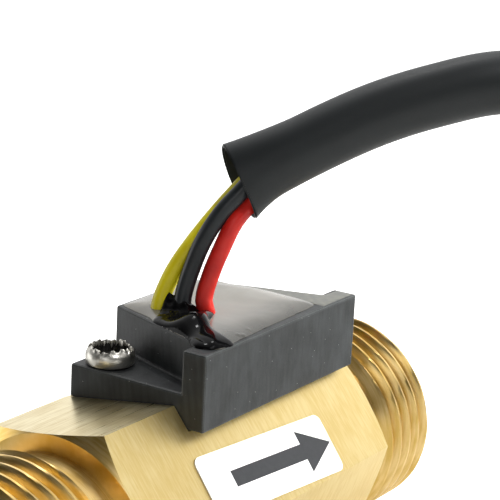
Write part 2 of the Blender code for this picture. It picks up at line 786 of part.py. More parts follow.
chips = block(
    (CHIP_START - SEAT_GAP, -CHIP_Y - CHIP_WIDTH / 2 - SEAT_GAP, BOARD_HIGH),
    (CHIP_END + SEAT_GAP, CHIP_Y + CHIP_WIDTH / 2 + SEAT_GAP, CHIP_HIGH + SEAT_GAP),
)
boolean(fill, tool("chip_pocket", chips, housing_frame))

# Three wires from the board, the glue round their roots and the cable sleeve

WIRE_RADIUS = WIRE_DIAMETER / 2
WIRE_LOW = BOARD_HIGH + SEAT_GAP
# Each wire's root on the board, then its way to the sleeve, in the housing's frame (mm)
WIRE_ROUTES = {
    "signal_wire": (
        pvc_yellow,
        (0.2, 3.6),
        [
            (0.8, 3.7, 19.7),
            (2.0, 2.9, 22.3),
            (3.4, 1.7, 25.0),
            (4.6, 0.4, 27.1),
            (5.3, -0.5, 28.4),
        ],
    ),
    "ground_wire": (
        pvc_black,
        (0.7, 1.2),
        [
            (0.9, 1.1, 20.0),
            (1.6, 0.6, 22.8),
            (2.6, -0.3, 25.7),
            (3.7, -1.2, 27.8),
            (4.3, -1.9, 28.7),
        ],
    ),
    "supply_wire": (
        pvc_red,
        (1.9, -0.9),
        [
            (2.4, -0.7, 20.6),
            (2.9, -1.3, 23.4),
            (3.5, -2.0, 25.3),
            (3.9, -2.6, 26.4),
        ],
    ),
}
for name, (colour, root, way) in WIRE_ROUTES.items():
    x, y = (value * MM for value in root)
    start = [(x, y, WIRE_LOW), (x, y, (WIRE_LOW + SKIN_HIGH) / 2), (x, y, SKIN_HIGH)]
    route = start + [tuple(value * MM for value in point) for point in way]
    cord(name, smooth(route, WIRE_STEP), WIRE_DIAMETER, WIRE_STEPS, colour, housing_frame)
    drill_section = rod_profile(
        WIRE_LOW - CUT_MARGIN, SKIN_HIGH + CUT_MARGIN, WIRE_RADIUS + SEAT_GAP
    )
    drill = tool(
        name + "_drill",
        revolved(drill_section, DRILL_STEPS),
        housing_frame,
        location=(x, y, 0),
        rotation=(0, -math.pi / 2, 0),
    )
    boolean(fill, drill)

GLUE_LOW = SKIN_HIGH + SEAT_GAP
# The puddle that ran from the wires' roots to the front corner, in the housing's frame (mm)
GLUE_ROUTE = [
    (1.4, 5.2),
    (-1.6, 2.4),
    (-3.9, -2.0),
    (-6.0, -5.4),
    (-5.2, -7.2),
    (-3.0, -6.6),
    (0.4, -3.4),
    (3.6, -2.4),
    (4.0, 1.0),
    (3.0, 4.4),
]
puddle = [
    (point.x, point.y)
    for point in smooth([(x * MM, y * MM) for x, y in GLUE_ROUTE], GLUE_STEP, closed=True)
]
glue = piece(
    "root_glue", prism(puddle, GLUE_LOW, GLUE_LOW + GLUE_FILM), glue_black, housing_frame
)
for number, (place, radii) in enumerate(GLUE_HEAPS):
    dome = bmesh.new()
    bmesh.ops.create_uvsphere(dome, u_segments=DOME_SIDES, v_segments=DOME_RINGS, radius=1.0)
    bmesh.ops.scale(dome, vec=radii, verts=dome.verts)
    under = [v for v in dome.verts if v.co.z < 0]
    bmesh.ops.delete(dome, geom=under, context="VERTS")
    bmesh.ops.holes_fill(dome, edges=dome.edges)
    foot = (*place, GLUE_LOW + GLUE_FILM / 2)
    boolean(glue, tool(f"glue_dome_{number}", dome, housing_frame, location=foot), "UNION")
for name, (_, root, way) in WIRE_ROUTES.items():
    foot = Vector((root[0] * MM, root[1] * MM, SKIN_HIGH))
    lean = (Vector(way[0]) * MM - foot).to_track_quat("X", "Y").to_euler()
    drill = revolved(rod_profile(-CUT_MARGIN, GLUE_DRILL, WIRE_RADIUS + GLUE_GAP), DRILL_STEPS)
    boolean(glue, tool(name + "_glue_hole", drill, housing_frame, location=foot, rotation=lean))

# Sleeve over the three wires: from over the housing down to the surface beside it (mm)

SLEEVE_ROUTE = [
    (4.6, -6.9, 40.2),
    (8.8, -12.1, 43.0),
    (12.8, -17.1, 45.2),
    (16.3, -21.8, 46.5),
    (19.9, -26.9, 47.2),
    (24.8, -33.8, 46.1),
    (29.2, -40.1, 42.1),
    (32.6, -44.8, 35.8),
    (35.0, -47.2, 28.0),
    (36.9, -48.2, 19.6),
    (41.0, -49.4, 12.2),
    (47.5, -50.2, 6.6),
    (55.5, -50.4, 3.6),
    (64.0, -49.5, 3.1),
    (72.3, -47.1, 3.1),
    (80.1, -43.3, 3.1),
    (87.1, -38.3, 3.1),
    (93.2, -32.3, 3.1),
]
sleeve_line = smooth([tuple(value * MM for value in place) for place in SLEEVE_ROUTE], SLEEVE_STEP)
cord("cable_sleeve", sleeve_line, SLEEVE_DIAMETER, SLEEVE_STEPS, pvc_sleeve, None)

# Plug: a white shell with two ribs underneath, a contact and a bare wire in each cavity

heading = sleeve_line[-1] - sleeve_line[-2]
heading.z = 0.0
heading.normalize()
plug_place = sleeve_line[-1] + heading * BARE_LENGTH
plug_place.z = PLUG_THICKNESS / 2 + PLUG_RIB + SEAT_GAP
plug_frame = frame(
    "plug_frame", location=plug_place, rotation=(0, 0, math.atan2(heading.y, heading.x))
)
plug = piece(
    "cable_plug",
    block(
        (0, -PLUG_WIDTH / 2, -PLUG_THICKNESS / 2), (PLUG_LENGTH, PLUG_WIDTH / 2, PLUG_THICKNESS / 2)
    ),
    nylon,
    plug_frame,
)
bevel(plug, PLUG_EDGE, 1)
for side in (-1, 1):
    rib = block(
        (RIB_START, side * PLUG_PITCH - PLUG_RIB / 2, -PLUG_THICKNESS / 2 - PLUG_RIB),
        (PLUG_LENGTH - PLUG_RIB, side * PLUG_PITCH + PLUG_RIB / 2, 0),
    )
    boolean(plug, tool(f"plug_rib_{side}", rib, plug_frame), "UNION")
HALF_CAVITY = CAVITY_SIZE / 2
HALF_CONTACT = HALF_CAVITY - SEAT_GAP
HALF_SOCKET = HALF_CONTACT - CONTACT_WALL
for place, (name, (colour, _, _)) in enumerate(WIRE_ROUTES.items()):
    y = (1 - place) * PLUG_PITCH
    cavity = block(
        (-CUT_MARGIN, y - HALF_CAVITY, -HALF_CAVITY),
        (PLUG_LENGTH + CUT_MARGIN, y + HALF_CAVITY, HALF_CAVITY),
    )
    boolean(plug, tool(f"{name}_cavity", cavity, plug_frame))
    contact_low = WIRE_IN_PLUG + SEAT_GAP
    contact_high = contact_low + CONTACT_LENGTH
    contact = piece(
        name.replace("wire", "contact"),
        block(
            (contact_low, y - HALF_CONTACT, -HALF_CONTACT),
            (contact_high, y + HALF_CONTACT, HALF_CONTACT),
        ),
        tin,
        plug_frame,
    )
    socket = block(
        (contact_low + CRIMP_LENGTH, y - HALF_SOCKET, -HALF_SOCKET),
        (contact_high + CUT_MARGIN, y + HALF_SOCKET, HALF_SOCKET),
    )
    boolean(contact, tool(f"{name}_socket", socket, plug_frame))
    side, rise = BARE_STARTS[place]
    rise += sleeve_line[-1].z - plug_place.z
    route = [
        (CORD_GAP - BARE_LENGTH, side, rise),
        (BARE_STRAIGHT - BARE_LENGTH, side, rise),
        (-BARE_STRAIGHT, y, 0.0),
        (0.0, y, 0.0),
        (WIRE_IN_PLUG, y, 0.0),
    ]
    cord(name + "_tail", smooth(route, WIRE_STEP), WIRE_DIAMETER, WIRE_STEPS, colour, plug_frame)

# Label on the flat that faces the front

label_frame = frame("label_frame", pipe, rotation=(math.pi / 3, 0, 0))
half_length = LABEL_LENGTH / 2
half_height = LABEL_HEIGHT / 2
label_outline = rounded(
    [
        (-half_length, -half_height, LABEL_CORNER),
        (half_length, -half_height, LABEL_CORNER),
        (half_length, half_height, LABEL_CORNER),
        (-half_length, half_height, LABEL_CORNER),
    ]
)
piece(
    "flow_label",
    prism(label_outline, HEX_RADIUS + LABEL_GAP, HEX_RADIUS + LABEL_GAP + LABEL_THICKNESS),
    paper,
    label_frame,
    location=(LABEL_X, -LABEL_DROP, 0),
    rotation=(0, 0, LABEL_TURN),
)
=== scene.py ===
import math

import bmesh
import bpy
from mathutils import Matrix, Vector, noise
from mathutils.geometry import interpolate_bezier


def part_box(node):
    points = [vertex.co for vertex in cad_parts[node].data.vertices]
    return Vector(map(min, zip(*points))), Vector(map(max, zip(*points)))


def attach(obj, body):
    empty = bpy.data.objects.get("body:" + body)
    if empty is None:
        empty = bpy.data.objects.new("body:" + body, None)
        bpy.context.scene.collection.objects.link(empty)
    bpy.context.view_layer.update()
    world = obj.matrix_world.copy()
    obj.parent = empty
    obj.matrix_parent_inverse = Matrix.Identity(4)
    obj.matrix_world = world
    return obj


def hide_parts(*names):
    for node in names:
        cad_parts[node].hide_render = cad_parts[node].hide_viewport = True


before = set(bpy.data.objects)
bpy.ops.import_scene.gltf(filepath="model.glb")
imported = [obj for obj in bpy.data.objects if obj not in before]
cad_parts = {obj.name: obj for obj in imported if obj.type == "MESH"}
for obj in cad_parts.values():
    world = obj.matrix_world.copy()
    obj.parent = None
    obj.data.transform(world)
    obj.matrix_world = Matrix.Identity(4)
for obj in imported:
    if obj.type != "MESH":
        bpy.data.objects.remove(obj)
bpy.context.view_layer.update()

MM = 0.001

# Camera
# A long lens, a little above the meter and to the left of its front. Its place, turn and focal
# length were worked out from the corners of the housing, the hexagon and the thread's crests.

CAMERA_PLACE = (-145.51, -111.14, 66.29)
CAMERA_TURN = (79.808, 4.888, -56.208)
FOCAL_LENGTH = 141.29
SENSOR_WIDTH = 36.0


def link(obj):
    """Puts an object into the scene."""
    bpy.context.scene.collection.objects.link(obj)
    return obj


camera_data = bpy.data.cameras.new("camera")
camera_data.lens = FOCAL_LENGTH
camera_data.sensor_width = SENSOR_WIDTH
camera_data.clip_start = 10 * MM
camera = link(bpy.data.objects.new("camera", camera_data))
camera.location = Vector(CAMERA_PLACE) * MM
camera.rotation_euler = [math.radians(angle) for angle in CAMERA_TURN]
bpy.context.scene.camera = camera
bpy.context.scene.view_settings.view_transform = "Standard"

# Studio
# A white sweep and soft boxes. The light comes from the right and from above, so the faces that
# look left stay dark, and the sweep itself is bright enough to go white in the picture.


def linear(colour):
    """Linear light from a six-digit sRGB colour, with an alpha of one."""
    channels = [int(colour[i : i + 2], 16) / 255 for i in (0, 2, 4)]
    return [c / 12.92 if c <= 0.04045 else ((c + 0.055) / 1.055) ** 2.4 for c in channels] + [1.0]


def add(tree, kind, inputs=None, **settings):
    """One node with its settings. An input takes a value or is linked to another node's socket."""
    made = tree.nodes.new(kind)
    for name, value in settings.items():
        setattr(made, name, value)
    for name, value in (inputs or {}).items():
        if isinstance(value, bpy.types.NodeSocket):
            tree.links.new(value, made.inputs[name])
        else:
            made.inputs[name].default_value = value
    return made


SWEEP_SIZE = 3.0
SWEEP_GREY = "C8C8C6"
SWEEP_GLOW = 1.0
# The sky gets brighter towards the right and the top
SKY_LOW = 0.05
SKY_HIGH = 1.5
SKY_TOWARDS = (0.85, 0.2, 0.49)
SKY_FADE = (-0.15, 1.0)

sweep_mesh = bmesh.new()
bmesh.ops.create_grid(sweep_mesh, x_segments=1, y_segments=1, size=SWEEP_SIZE)
sweep_data = bpy.data.meshes.new("sweep")
sweep_mesh.to_mesh(sweep_data)
sweep_mesh.free()
sweep = link(bpy.data.objects.new("sweep", sweep_data))

# Matt paper. It glows for the camera alone, so it is white in the picture and grey in reflections
sweep_paper = bpy.data.materials.new("matt_white_paper_sweep")
sweep_paper.use_nodes = True
tree = sweep_paper.node_tree
tree.nodes.clear()
rays = add(tree, "ShaderNodeLightPath")
glow = add(
    tree, "ShaderNodeMath", {0: rays.outputs["Is Camera Ray"], 1: SWEEP_GLOW}, operation="MULTIPLY"
)
paper = add(tree, "ShaderNodeBsdfDiffuse", {"Color": linear(SWEEP_GREY)})
shine = add(tree, "ShaderNodeEmission", {"Strength": glow.outputs[0]})
both = add(tree, "ShaderNodeAddShader", {0: paper.outputs[0], 1: shine.outputs[0]})
add(tree, "ShaderNodeOutputMaterial", {"Surface": both.outputs[0]})
sweep_data.materials.append(sweep_paper)

world = bpy.data.worlds.new("studio")
bpy.context.scene.world = world
world.use_nodes = True
tree = world.node_tree
tree.nodes.clear()
directions = add(tree, "ShaderNodeTexCoord")
towards = add(
    tree,
    "ShaderNodeVectorMath",
    {0: directions.outputs["Generated"], 1: SKY_TOWARDS},
    operation="DOT_PRODUCT",
)
bright = add(
    tree,
    "ShaderNodeMapRange",
    {
        "Value": towards.outputs["Value"],
        "From Min": SKY_FADE[0],
        "From Max": SKY_FADE[1],
        "To Min": SKY_LOW,
        "To Max": SKY_HIGH,
    },
    interpolation_type="SMOOTHSTEP",
)
rays = add(tree, "ShaderNodeLightPath")
seen = add(
    tree,
    "ShaderNodeMath",
    {0: bright.outputs["Result"], 1: rays.outputs["Is Camera Ray"]},
    operation="MAXIMUM",
)
sky = add(tree, "ShaderNodeBackground", {"Strength": seen.outputs[0]})
add(tree, "ShaderNodeOutputWorld", {"Surface": sky.outputs[0]})

# Place, aim, side and power of each soft box, in millimetres and watts. The right box lights the
# front. It is kept out of reflections, where it would burn out the flat round the label
SOFT_BOXES = {
    "right_box": ((260, -230, 170), (20, -20, 10), 220, 3.4),
    "sheen_box": ((400, -220, 215), (0, -8, 14), 300, 0.11),
    "left_box": ((-345, -108, 150), (27, -7, 18), 110, 0.08),
    "low_box": ((-345, -130, 70), (27, -7, 18), 190, 0.07),
    "small_box": ((-40, -190, 230), (0, -4, 26), 36, 0.2),
    "top_box": ((92, 40, 270), (0, -5, 27), 26, 0.08),
    "back_box": ((-50, 150, 40), (-6, 5, 24), 90, 0.05),
}
for name, (box_place, aim, side, power) in SOFT_BOXES.items():
    light = bpy.data.lights.new(name, "AREA")
    light.shape = "SQUARE"
    light.size = side * MM
    light.energy = power
    lamp = link(bpy.data.objects.new(name, light))
    lamp.location = Vector(box_place) * MM
    lamp.rotation_euler = (Vector(aim) - Vector(box_place)).to_track_quat("-Z", "Y").to_euler()
    lamp.visible_glossy = name != "right_box"

# Cable sleeve
# A soft black tube over the three wires, cut off square by hand. The wires press its mouth open
# into an oval, and it rises from over the housing and comes down on the table.

AXIS_HEIGHT = sum(corner.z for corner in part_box("brass_body")) / 2
HOUSING_LEAN = math.radians(9.3)
SLEEVE_DIAMETER = 6.0 * MM
SLEEVE_WALL = 0.5 * MM
SLEEVE_STEP = 0.5 * MM
MOUTH_FLARE = 0.87 * MM
MOUTH_PINCH = 0.3 * MM
# How far in the upper edge, the lower edge and the sides keep their flare, and its power
UPPER_FADE = (7.0 * MM, 1.35)
LOWER_FADE = (3.8 * MM, 2.7)
SIDE_FADE = (6.0 * MM, 2.0)
MOUTH_SKEW = 0.43 * MM
MOUTH_TILT = 0.24 * MM
MOUTH_BOW = 0.2 * MM
MOUTH_BACK = 0.2 * MM
MOUTH_CUT = 1.5 * MM
MOUTH_LIP = 0.16 * MM
TUBE_SIDES = 48
RIM_ANGLE = math.radians(60)
SLEEVE_ROUTE = [
    (4.6, -6.9, 40.2),
    (8.8, -12.1, 43.0),
    (12.8, -17.1, 45.2),
    (16.3, -21.8, 46.5),
    (19.9, -26.9, 47.2),
    (24.8, -33.8, 46.1),
    (29.2, -40.1, 42.1),
    (32.6, -44.8, 35.8),
    (35.0, -47.2, 28.0),
    (36.9, -48.2, 19.6),
    (41.0, -49.4, 12.2),
    (47.5, -50.2, 6.6),
    (55.5, -50.4, 3.6),
    (64.0, -49.5, 3.1),
    (72.3, -47.1, 3.1),
    (80.1, -43.3, 3.1),
    (87.1, -38.3, 3.1),
    (93.2, -32.3, 3.1),
]

pipe_axis = Matrix.Translation((0, 0, AXIS_HEIGHT))
housing_axis = pipe_axis @ Matrix.Rotation(HOUSING_LEAN, 4, "X")


def smooth(route, step):
    """Points about step apart on one smooth curve through the route's points."""
    points = [Vector(p) for p in route]
    last = len(points) - 1
    curve = []
    for i in range(last):
        j = i + 1
        before = points[max(i - 1, 0)]
        beyond = points[min(j + 1, last)]
        reach = (points[j] - points[i]).length / 3
        out = points[i] + (points[j] - before).normalized() * reach
        back = points[j] - (beyond - points[i]).normalized() * reach
        parts = max(2, round((points[j] - points[i]).length / step) + 1)
        curve += interpolate_bezier(points[i], out, back, points[j], parts)[:-1]
    return [*curve, points[-1]]


def spines(line, up):
    """Each point's direction and two cross directions, carried along the line without twist."""
    frames = []
    for i, _ in enumerate(line):
        along = (line[min(i + 1, len(line) - 1)] - line[max(i - 1, 0)]).normalized()
        across = (up - along * up.dot(along)).normalized()
        frames.append((along, across, along.cross(across)))
        up = across
    return frames


def bridge(bm, ring, other, flip=False):
    """Faces between two closed rings of points."""
    for k, (here, there) in enumerate(zip(ring, other)):
        j = (k + 1) % len(ring)
        corners = [here, ring[j], other[j], there]
        bm.faces.new(corners[::-1] if flip else corners)


def piece(name, bm, *materials, sharp=35):
    """An object from a bmesh, smooth except at sharp corners, that rides on the meter."""
    mesh = bpy.data.meshes.new(name)
    bm.to_mesh(mesh)
    bm.free()
    mesh.shade_smooth()
    mesh.set_sharp_from_angle(angle=math.radians(sharp))
    for each in materials:
        mesh.materials.append(each)
    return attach(link(bpy.data.objects.new(name, mesh)), "meter")


def surface(name):
    """A new material with its node tree, its shader and its object coordinates."""
    made = bpy.data.materials.new(name)
    made.use_nodes = True
    tree = made.node_tree
    coordinates = add(tree, "ShaderNodeTexCoord").outputs["Object"]
    return made, tree, tree.nodes["Principled BSDF"], coordinates


def mottle(tree, at, size, detail=2, **inputs):
    """Noise whose patches are about size across."""
    noisy = {"Vector": at, "Scale": 1 / size, "Detail": detail, **inputs}
    return add(tree, "ShaderNodeTexNoise", noisy).outputs["Fac"]


def stretched(tree, at, scale):
    """Coordinates that are scaled along each axis, so that a pattern becomes lines."""
    return add(tree, "ShaderNodeMapping", {"Vector": at, "Scale": scale}).outputs[0]


def tones(tree, share, dark, light, low=0.0, high=1.0):
    """Colours from dark, where the share is low, to light, where it is high."""
    ramp = add(tree, "ShaderNodeValToRGB", {"Fac": share})
    for stop, colour, position in zip(ramp.color_ramp.elements, (dark, light), (low, high)):
        stop.position = position
        stop.color = linear(colour)
    return ramp.outputs["Color"]


def spread(tree, share, low, high, start=0.0, end=1.0, **settings):
    """A number that goes from low to high while the share goes from start to end."""
    ends = {"Value": share, "From Min": start, "From Max": end, "To Min": low, "To Max": high}
    return add(tree, "ShaderNodeMapRange", ends, **settings).outputs["Result"]


def relief(tree, height, strength, depth):
    """A fine relief, too small for the mesh."""
    ends = {"Height": height, "Strength": strength, "Distance": depth}
    return add(tree, "ShaderNodeBump", ends).outputs["Normal"]


def finish_with(tree, shader, colour=None, roughness=None, bump=None):
    """Links a shader's colour, roughness and bump."""
    for name, socket in (("Base Color", colour), ("Roughness", roughness), ("Normal", bump)):
        if socket:
            tree.links.new(socket, shader.inputs[name])


# Soft PVC tube, extruded: near black, its dull sheen broken up by a fine grain
RUBBER_GRAIN = 0.25 * MM
RUBBER_CLOUD = 5.0 * MM
sleeve_rubber, tree, shader, coordinates = surface("extruded_soft_pvc")
grain = mottle(tree, coordinates, RUBBER_GRAIN, 3)
cloud = mottle(tree, coordinates, RUBBER_CLOUD)
shader.inputs["Specular IOR Level"].default_value = 0.45
finish_with(
    tree,
    shader,
    tones(tree, cloud, "0F1315", "181D1F"),
    spread(tree, grain, 0.42, 0.58),
    relief(tree, grain, 0.18, 0.02 * MM),
)

sleeve_line = smooth([Vector(place) * MM for place in SLEEVE_ROUTE], SLEEVE_STEP)
view_axis = camera.rotation_euler.to_matrix() @ Vector((0, 0, -1))
first_way = (sleeve_line[1] - sleeve_line[0]).normalized()
sleeve_frames = spines(sleeve_line, first_way.cross(view_axis))
sleeve_reach = [0.0]
for point, following in zip(sleeve_line, sleeve_line[1:]):
    sleeve_reach.append(sleeve_reach[-1] + (following - point).length)

sleeve = bmesh.new()
shells = []
for depth_in in (0.0, SLEEVE_WALL):
    rings = []
    for i, (point, (along, up, side)) in enumerate(zip(sleeve_line, sleeve_frames)):
        upper, lower, sides = (
            max(0.0, 1 - sleeve_reach[i] / fade) ** power
            for fade, power in (UPPER_FADE, LOWER_FADE, SIDE_FADE)
        )
        cut = max(0.0, 1 - sleeve_reach[i] / MOUTH_CUT)
        wide = SLEEVE_DIAMETER / 2 - MOUTH_PINCH * sides - depth_in
        ring = []
        for k in range(TUBE_SIDES):
            angle = 2 * math.pi * k / TUBE_SIDES
            rise, reach = math.cos(angle), math.sin(angle)
            high = SLEEVE_DIAMETER / 2 + MOUTH_FLARE * (upper if rise > 0 else lower) - depth_in
            place = point + up * (high * rise) + side * (wide * reach)
            slant = MOUTH_SKEW * reach + MOUTH_TILT * rise - MOUTH_BOW * reach**2 - MOUTH_BACK
            ring.append(sleeve.verts.new(place + along * slant * cut))
        rings.append(ring)
    shells.append(rings)
outer, inner = shells
for rings, flip in ((outer, False), (inner, True)):
    for ring, other in zip(rings, rings[1:]):
        bridge(sleeve, ring, other, flip)
for end in (0, -1):
    bridge(sleeve, outer[end], inner[end], flip=True)
bmesh.ops.recalc_face_normals(sleeve, faces=sleeve.faces)
rim_edges = [e for e in sleeve.edges if e.is_manifold and e.calc_face_angle(0) > RIM_ANGLE]
bmesh.ops.bevel(sleeve, geom=rim_edges, offset=MOUTH_LIP, segments=2, affect="EDGES")
sleeve_piece = piece("hollow_cable_sleeve", sleeve, sleeve_rubber)
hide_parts("cable_sleeve")

# Plug and contacts
# A small white nylon shell with three cavities, and in each a folded contact of tinned bronze.
# The photograph stops before it, so it has the plainest shape that such a lead ends in.

# Moulded nylon: off-white, faintly mottled, with a low sheen
NYLON_CLOUD = 2.5 * MM
white_nylon, tree, shader, coordinates = surface("moulded_nylon")
cloud = mottle(tree, coordinates, NYLON_CLOUD, 3)
shader.inputs["Roughness"].default_value = 0.45
finish_with(
    tree,
    shader,
    tones(tree, cloud, "BFB9A8", "D3CEC0"),
    None,
    relief(tree, cloud, 0.1, 0.03 * MM),
)

# Stamped bronze with a tin coat: pale grey metal with faint rolling lines
ROLL_LINES = 0.1 * MM
tinned_bronze, tree, shader, coordinates = surface("stamped_tinned_bronze")
lines = mottle(tree, stretched(tree, coordinates, (0.1, 1.0, 1.0)), ROLL_LINES)
shader.inputs["Base Color"].default_value = linear("CFCDC8")
shader.inputs["Metallic"].default_value = 1.0
finish_with(tree, shader, None, spread(tree, lines, 0.22, 0.42))


def refinish(name, material):
    """A CAD node with a better material in its slot."""
    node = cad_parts[name]
    node.data.materials.clear()
    node.data.materials.append(material)
    return node


for name in ("signal_contact", "ground_contact", "supply_contact"):
    refinish(name, tinned_bronze)
plug = refinish("cable_plug", white_nylon)

# Three wires
# Stranded leads in yellow, black and red PVC. They come up out of the potting, close up behind
# one another, run inside the sleeve and end in the plug's contacts.

WIRE_DIAMETER = 1.7 * MM
WIRE_STEP = 0.7 * MM
# A wire's line has one point for so many of the sleeve's points
WIRE_SKIP = 4
ROOT_HEIGHTS = (12.9, 15.0, 17.1)
# From the mouth, the wires close up within this length. In the last share of the sleeve they
# turn into the plug's order
CLOSE_UP = 6.0 * MM
TURN_SHARE = 0.5
PLUG_PITCH = 2.5 * MM
BARE_LENGTH = 12.0 * MM
BARE_STRAIGHT = 3.0 * MM
WIRE_IN_PLUG = 3.0 * MM

# Extruded PVC: saturated, with a soft highlight and slow changes of tone along the wire
WIRE_CLOUD = 3.0 * MM
WIRE_GRAIN = 0.2 * MM


def pvc(name, deep, full):
    """Coloured wire insulation between two tones."""
    made, tree, shader, coordinates = surface(name)
    cloud = mottle(tree, coordinates, WIRE_CLOUD, 3)
    grain = mottle(tree, coordinates, WIRE_GRAIN)
    shader.inputs["Roughness"].default_value = 0.34
    shader.inputs["Specular IOR Level"].default_value = 0.35
    finish_with(
        tree,
        shader,
        tones(tree, cloud, deep, full, 0.3, 0.7),
        None,
        relief(tree, grain, 0.1, 0.02 * MM),
    )
    return made


# Name: insulation, slot, root and way in the housing's frame, place in the sleeve's mouth and
# inside it (up, away from the camera), and place in its far end (left, up), in millimetres
WIRES = {
    "signal_wire": (
        pvc("yellow_pvc", "CFBF10", "EBDD26"),
        "yellow_wire",
        (0.2, 3.6),
        [(0.64, 3.5, 18.7), (1.48, 2.82, 21.15), (2.52, 1.48, 23.9), (3.76, -0.2, 26.8)],
        (-0.43, 0.85),
        (0.5, 0.87),
        (1.2, -0.6),
    ),
    "ground_wire": (
        pvc("black_pvc", "1D2023", "2A2E31"),
        "black_wire",
        (0.7, 1.2),
        [(0.9, 1.35, 18.8), (1.39, 0.94, 21.3), (1.86, 0.0, 24.3), (2.64, -1.4, 27.2)],
        (-0.8, -0.85),
        (0.5, -0.87),
        (0.0, 1.0),
    ),
    "supply_wire": (
        pvc("red_pvc", "C01C16", "DE2E23"),
        "red_wire",
        (1.9, -0.9),
        [(1.85, -0.4, 18.6), (2.3, -0.75, 21.1), (2.8, -1.55, 23.8), (3.45, -2.5, 26.5)],
        (-2.25, 0.05),
        (-1.0, 0.0),
        (-1.2, -0.6),
    ),
}
far_end = sleeve_line[-1]
heading = far_end - sleeve_line[-2]
heading.z = 0.0
heading.normalize()
leftward = Vector((0, 0, 1)).cross(heading)
contact_height = sum(corner.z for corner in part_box("ground_contact")) / 2
plug_origin = far_end + heading * BARE_LENGTH
plug_origin.z = contact_height

for number, (name, facts) in enumerate(WIRES.items()):
    insulation, slot, root, way, mouth, inside, far_place = facts
    line = [housing_axis @ (Vector((*root, height)) * MM) for height in ROOT_HEIGHTS]
    line += [housing_axis @ (Vector(point) * MM) for point in way]
    left_by, up_by = far_place[0] * MM, far_place[1] * MM
    end_offset = leftward * left_by + Vector((0, 0, up_by + contact_height - far_end.z))
    for i, (point, (along, up, side)) in enumerate(zip(sleeve_line, sleeve_frames)):
        if i % WIRE_SKIP and i != len(sleeve_line) - 1:
            continue
        closed = 1 - max(0.0, 1 - sleeve_reach[i] / CLOSE_UP) ** 2
        offset = up * (mouth[0] * MM) - side * (mouth[1] * MM)
        offset = offset.lerp(up * (inside[0] * MM) - side * (inside[1] * MM), closed)
        left = (sleeve_reach[-1] - sleeve_reach[i]) / sleeve_reach[-1]
        turn = max(0.0, 1 - left / TURN_SHARE)
        line.append(point + offset.lerp(end_offset, turn * turn * (3 - 2 * turn)))
    line.append(plug_origin - heading * (BARE_LENGTH - BARE_STRAIGHT) + end_offset)
    line[-1].z = far_end.z + up_by
    for run in (-BARE_STRAIGHT, 0.0, WIRE_IN_PLUG):
        line.append(plug_origin + heading * run + leftward * ((1 - number) * PLUG_PITCH))
    points = smooth(line, WIRE_STEP)
    data = bpy.data.curves.new(name + "_full", "CURVE")
    data.dimensions = "3D"
    data.bevel_depth = WIRE_DIAMETER / 2
    data.bevel_resolution = 5
    data.use_fill_caps = True
    spline = data.splines.new("POLY")
    spline.points.add(len(points) - 1)
    for target, point in zip(spline.points, points):
        target.co = (*point, 1.0)
    spline.use_smooth = True
    data.materials.append(insulation)
    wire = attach(link(bpy.data.objects.new(name + "_full", data)), "meter")
    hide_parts(name, name + "_tail")

# Brass body
# A hexagon bar, turned and bored on a lathe, threaded G 1/2 at both ends, with a pocket milled
# across its top for the housing. The top and bottom flats keep the bar's drawn finish, and the
# flats between them show the marks of a cutter.

HALF = 30.8 * MM
HEX_HALF = 19.35 * MM
HEX_RADIUS = 10.85 * MM
HEX_CHAMFER = math.radians(30)
NECK_RADIUS = 9.2 * MM
NECK_END = HEX_HALF + 2.8 * MM
THREAD_RADIUS = 10.475 * MM
THREAD_DEPTH = 1.162 * MM
THREAD_PITCH = 1.814 * MM
END_CHAMFER = 0.15 * MM
BORE_RADIUS = 7.2 * MM
OUTLET_RADIUS = 6.0 * MM
SHOULDER_X = 15.5 * MM
MOUTH_CHAMFER = 0.6 * MM
# Start, end and radius of the retaining ring's groove
RING_GROOVE = (-15.6 * MM, -14.4 * MM, 7.7 * MM)
HOUSING_SEAT = 9.7 * MM
SEAT_GAP = 0.1 * MM
SCREW_INSET = 2.4 * MM
SCREW_Y = 4.85 * MM
# Bottom and radius of each screw's hole
SCREW_HOLE = (7.8 * MM, 1.35 * MM)
DRILL_SIDES = 32
BODY_SIDES = 144
EDGE_BREAK = 0.12 * MM
EDGE_ANGLE = math.radians(25)
# The bar is first turned a little thicker than its corners, and its ends thinner than the thread
BAR_SPARE = 0.5 * MM
CORE_SINK = 0.15 * MM
CORE_STEP = 0.2 * MM


def circle(radius, sides):
    """The points of a circle, as pairs."""
    turns = [2 * math.pi * k / sides for k in range(sides)]
    return [(radius * math.cos(turn), radius * math.sin(turn)) for turn in turns]


def revolved(profile):
    """A closed ring turned about X from (x, radius) points."""
    bm = bmesh.new()
    rings = [[bm.verts.new((x, *point)) for point in circle(r, BODY_SIDES)] for x, r in profile]
    for ring, other in zip(rings, rings[1:] + rings[:1]):
        bridge(bm, ring, other)
    bmesh.ops.recalc_face_normals(bm, faces=bm.faces)
    return bm


def prism(outline, low, high):
    """A body from a closed XY outline, standing from low to high."""
    bm = bmesh.new()
    base = bm.faces.new([bm.verts.new((x, y, low)) for x, y in outline])
    raised = bmesh.ops.extrude_face_region(bm, geom=[base])["geom"]
    moved = [v for v in raised if isinstance(v, bmesh.types.BMVert)]
    bmesh.ops.translate(bm, vec=(0, 0, high - low), verts=moved)
    bmesh.ops.recalc_face_normals(bm, faces=bm.faces)
    return bm


def shape(name, bm, matrix):
    """A helper object for a Boolean, placed by a matrix and removed when the cut is made."""
    mesh = bpy.data.meshes.new(name)
    bm.to_mesh(mesh)
    bm.free()
    mesh.transform(matrix)
    return link(bpy.data.objects.new(name, mesh))


def baked(obj, *cutters):
    """The bmesh of obj with its modifiers applied. The object and its cutters are removed."""
    evaluated = obj.evaluated_get(bpy.context.evaluated_depsgraph_get())
    bm = bmesh.new()
    bm.from_mesh(evaluated.to_mesh())
    evaluated.to_mesh_clear()
    for old in (obj, *cutters):
        bpy.data.objects.remove(old)
    return bm


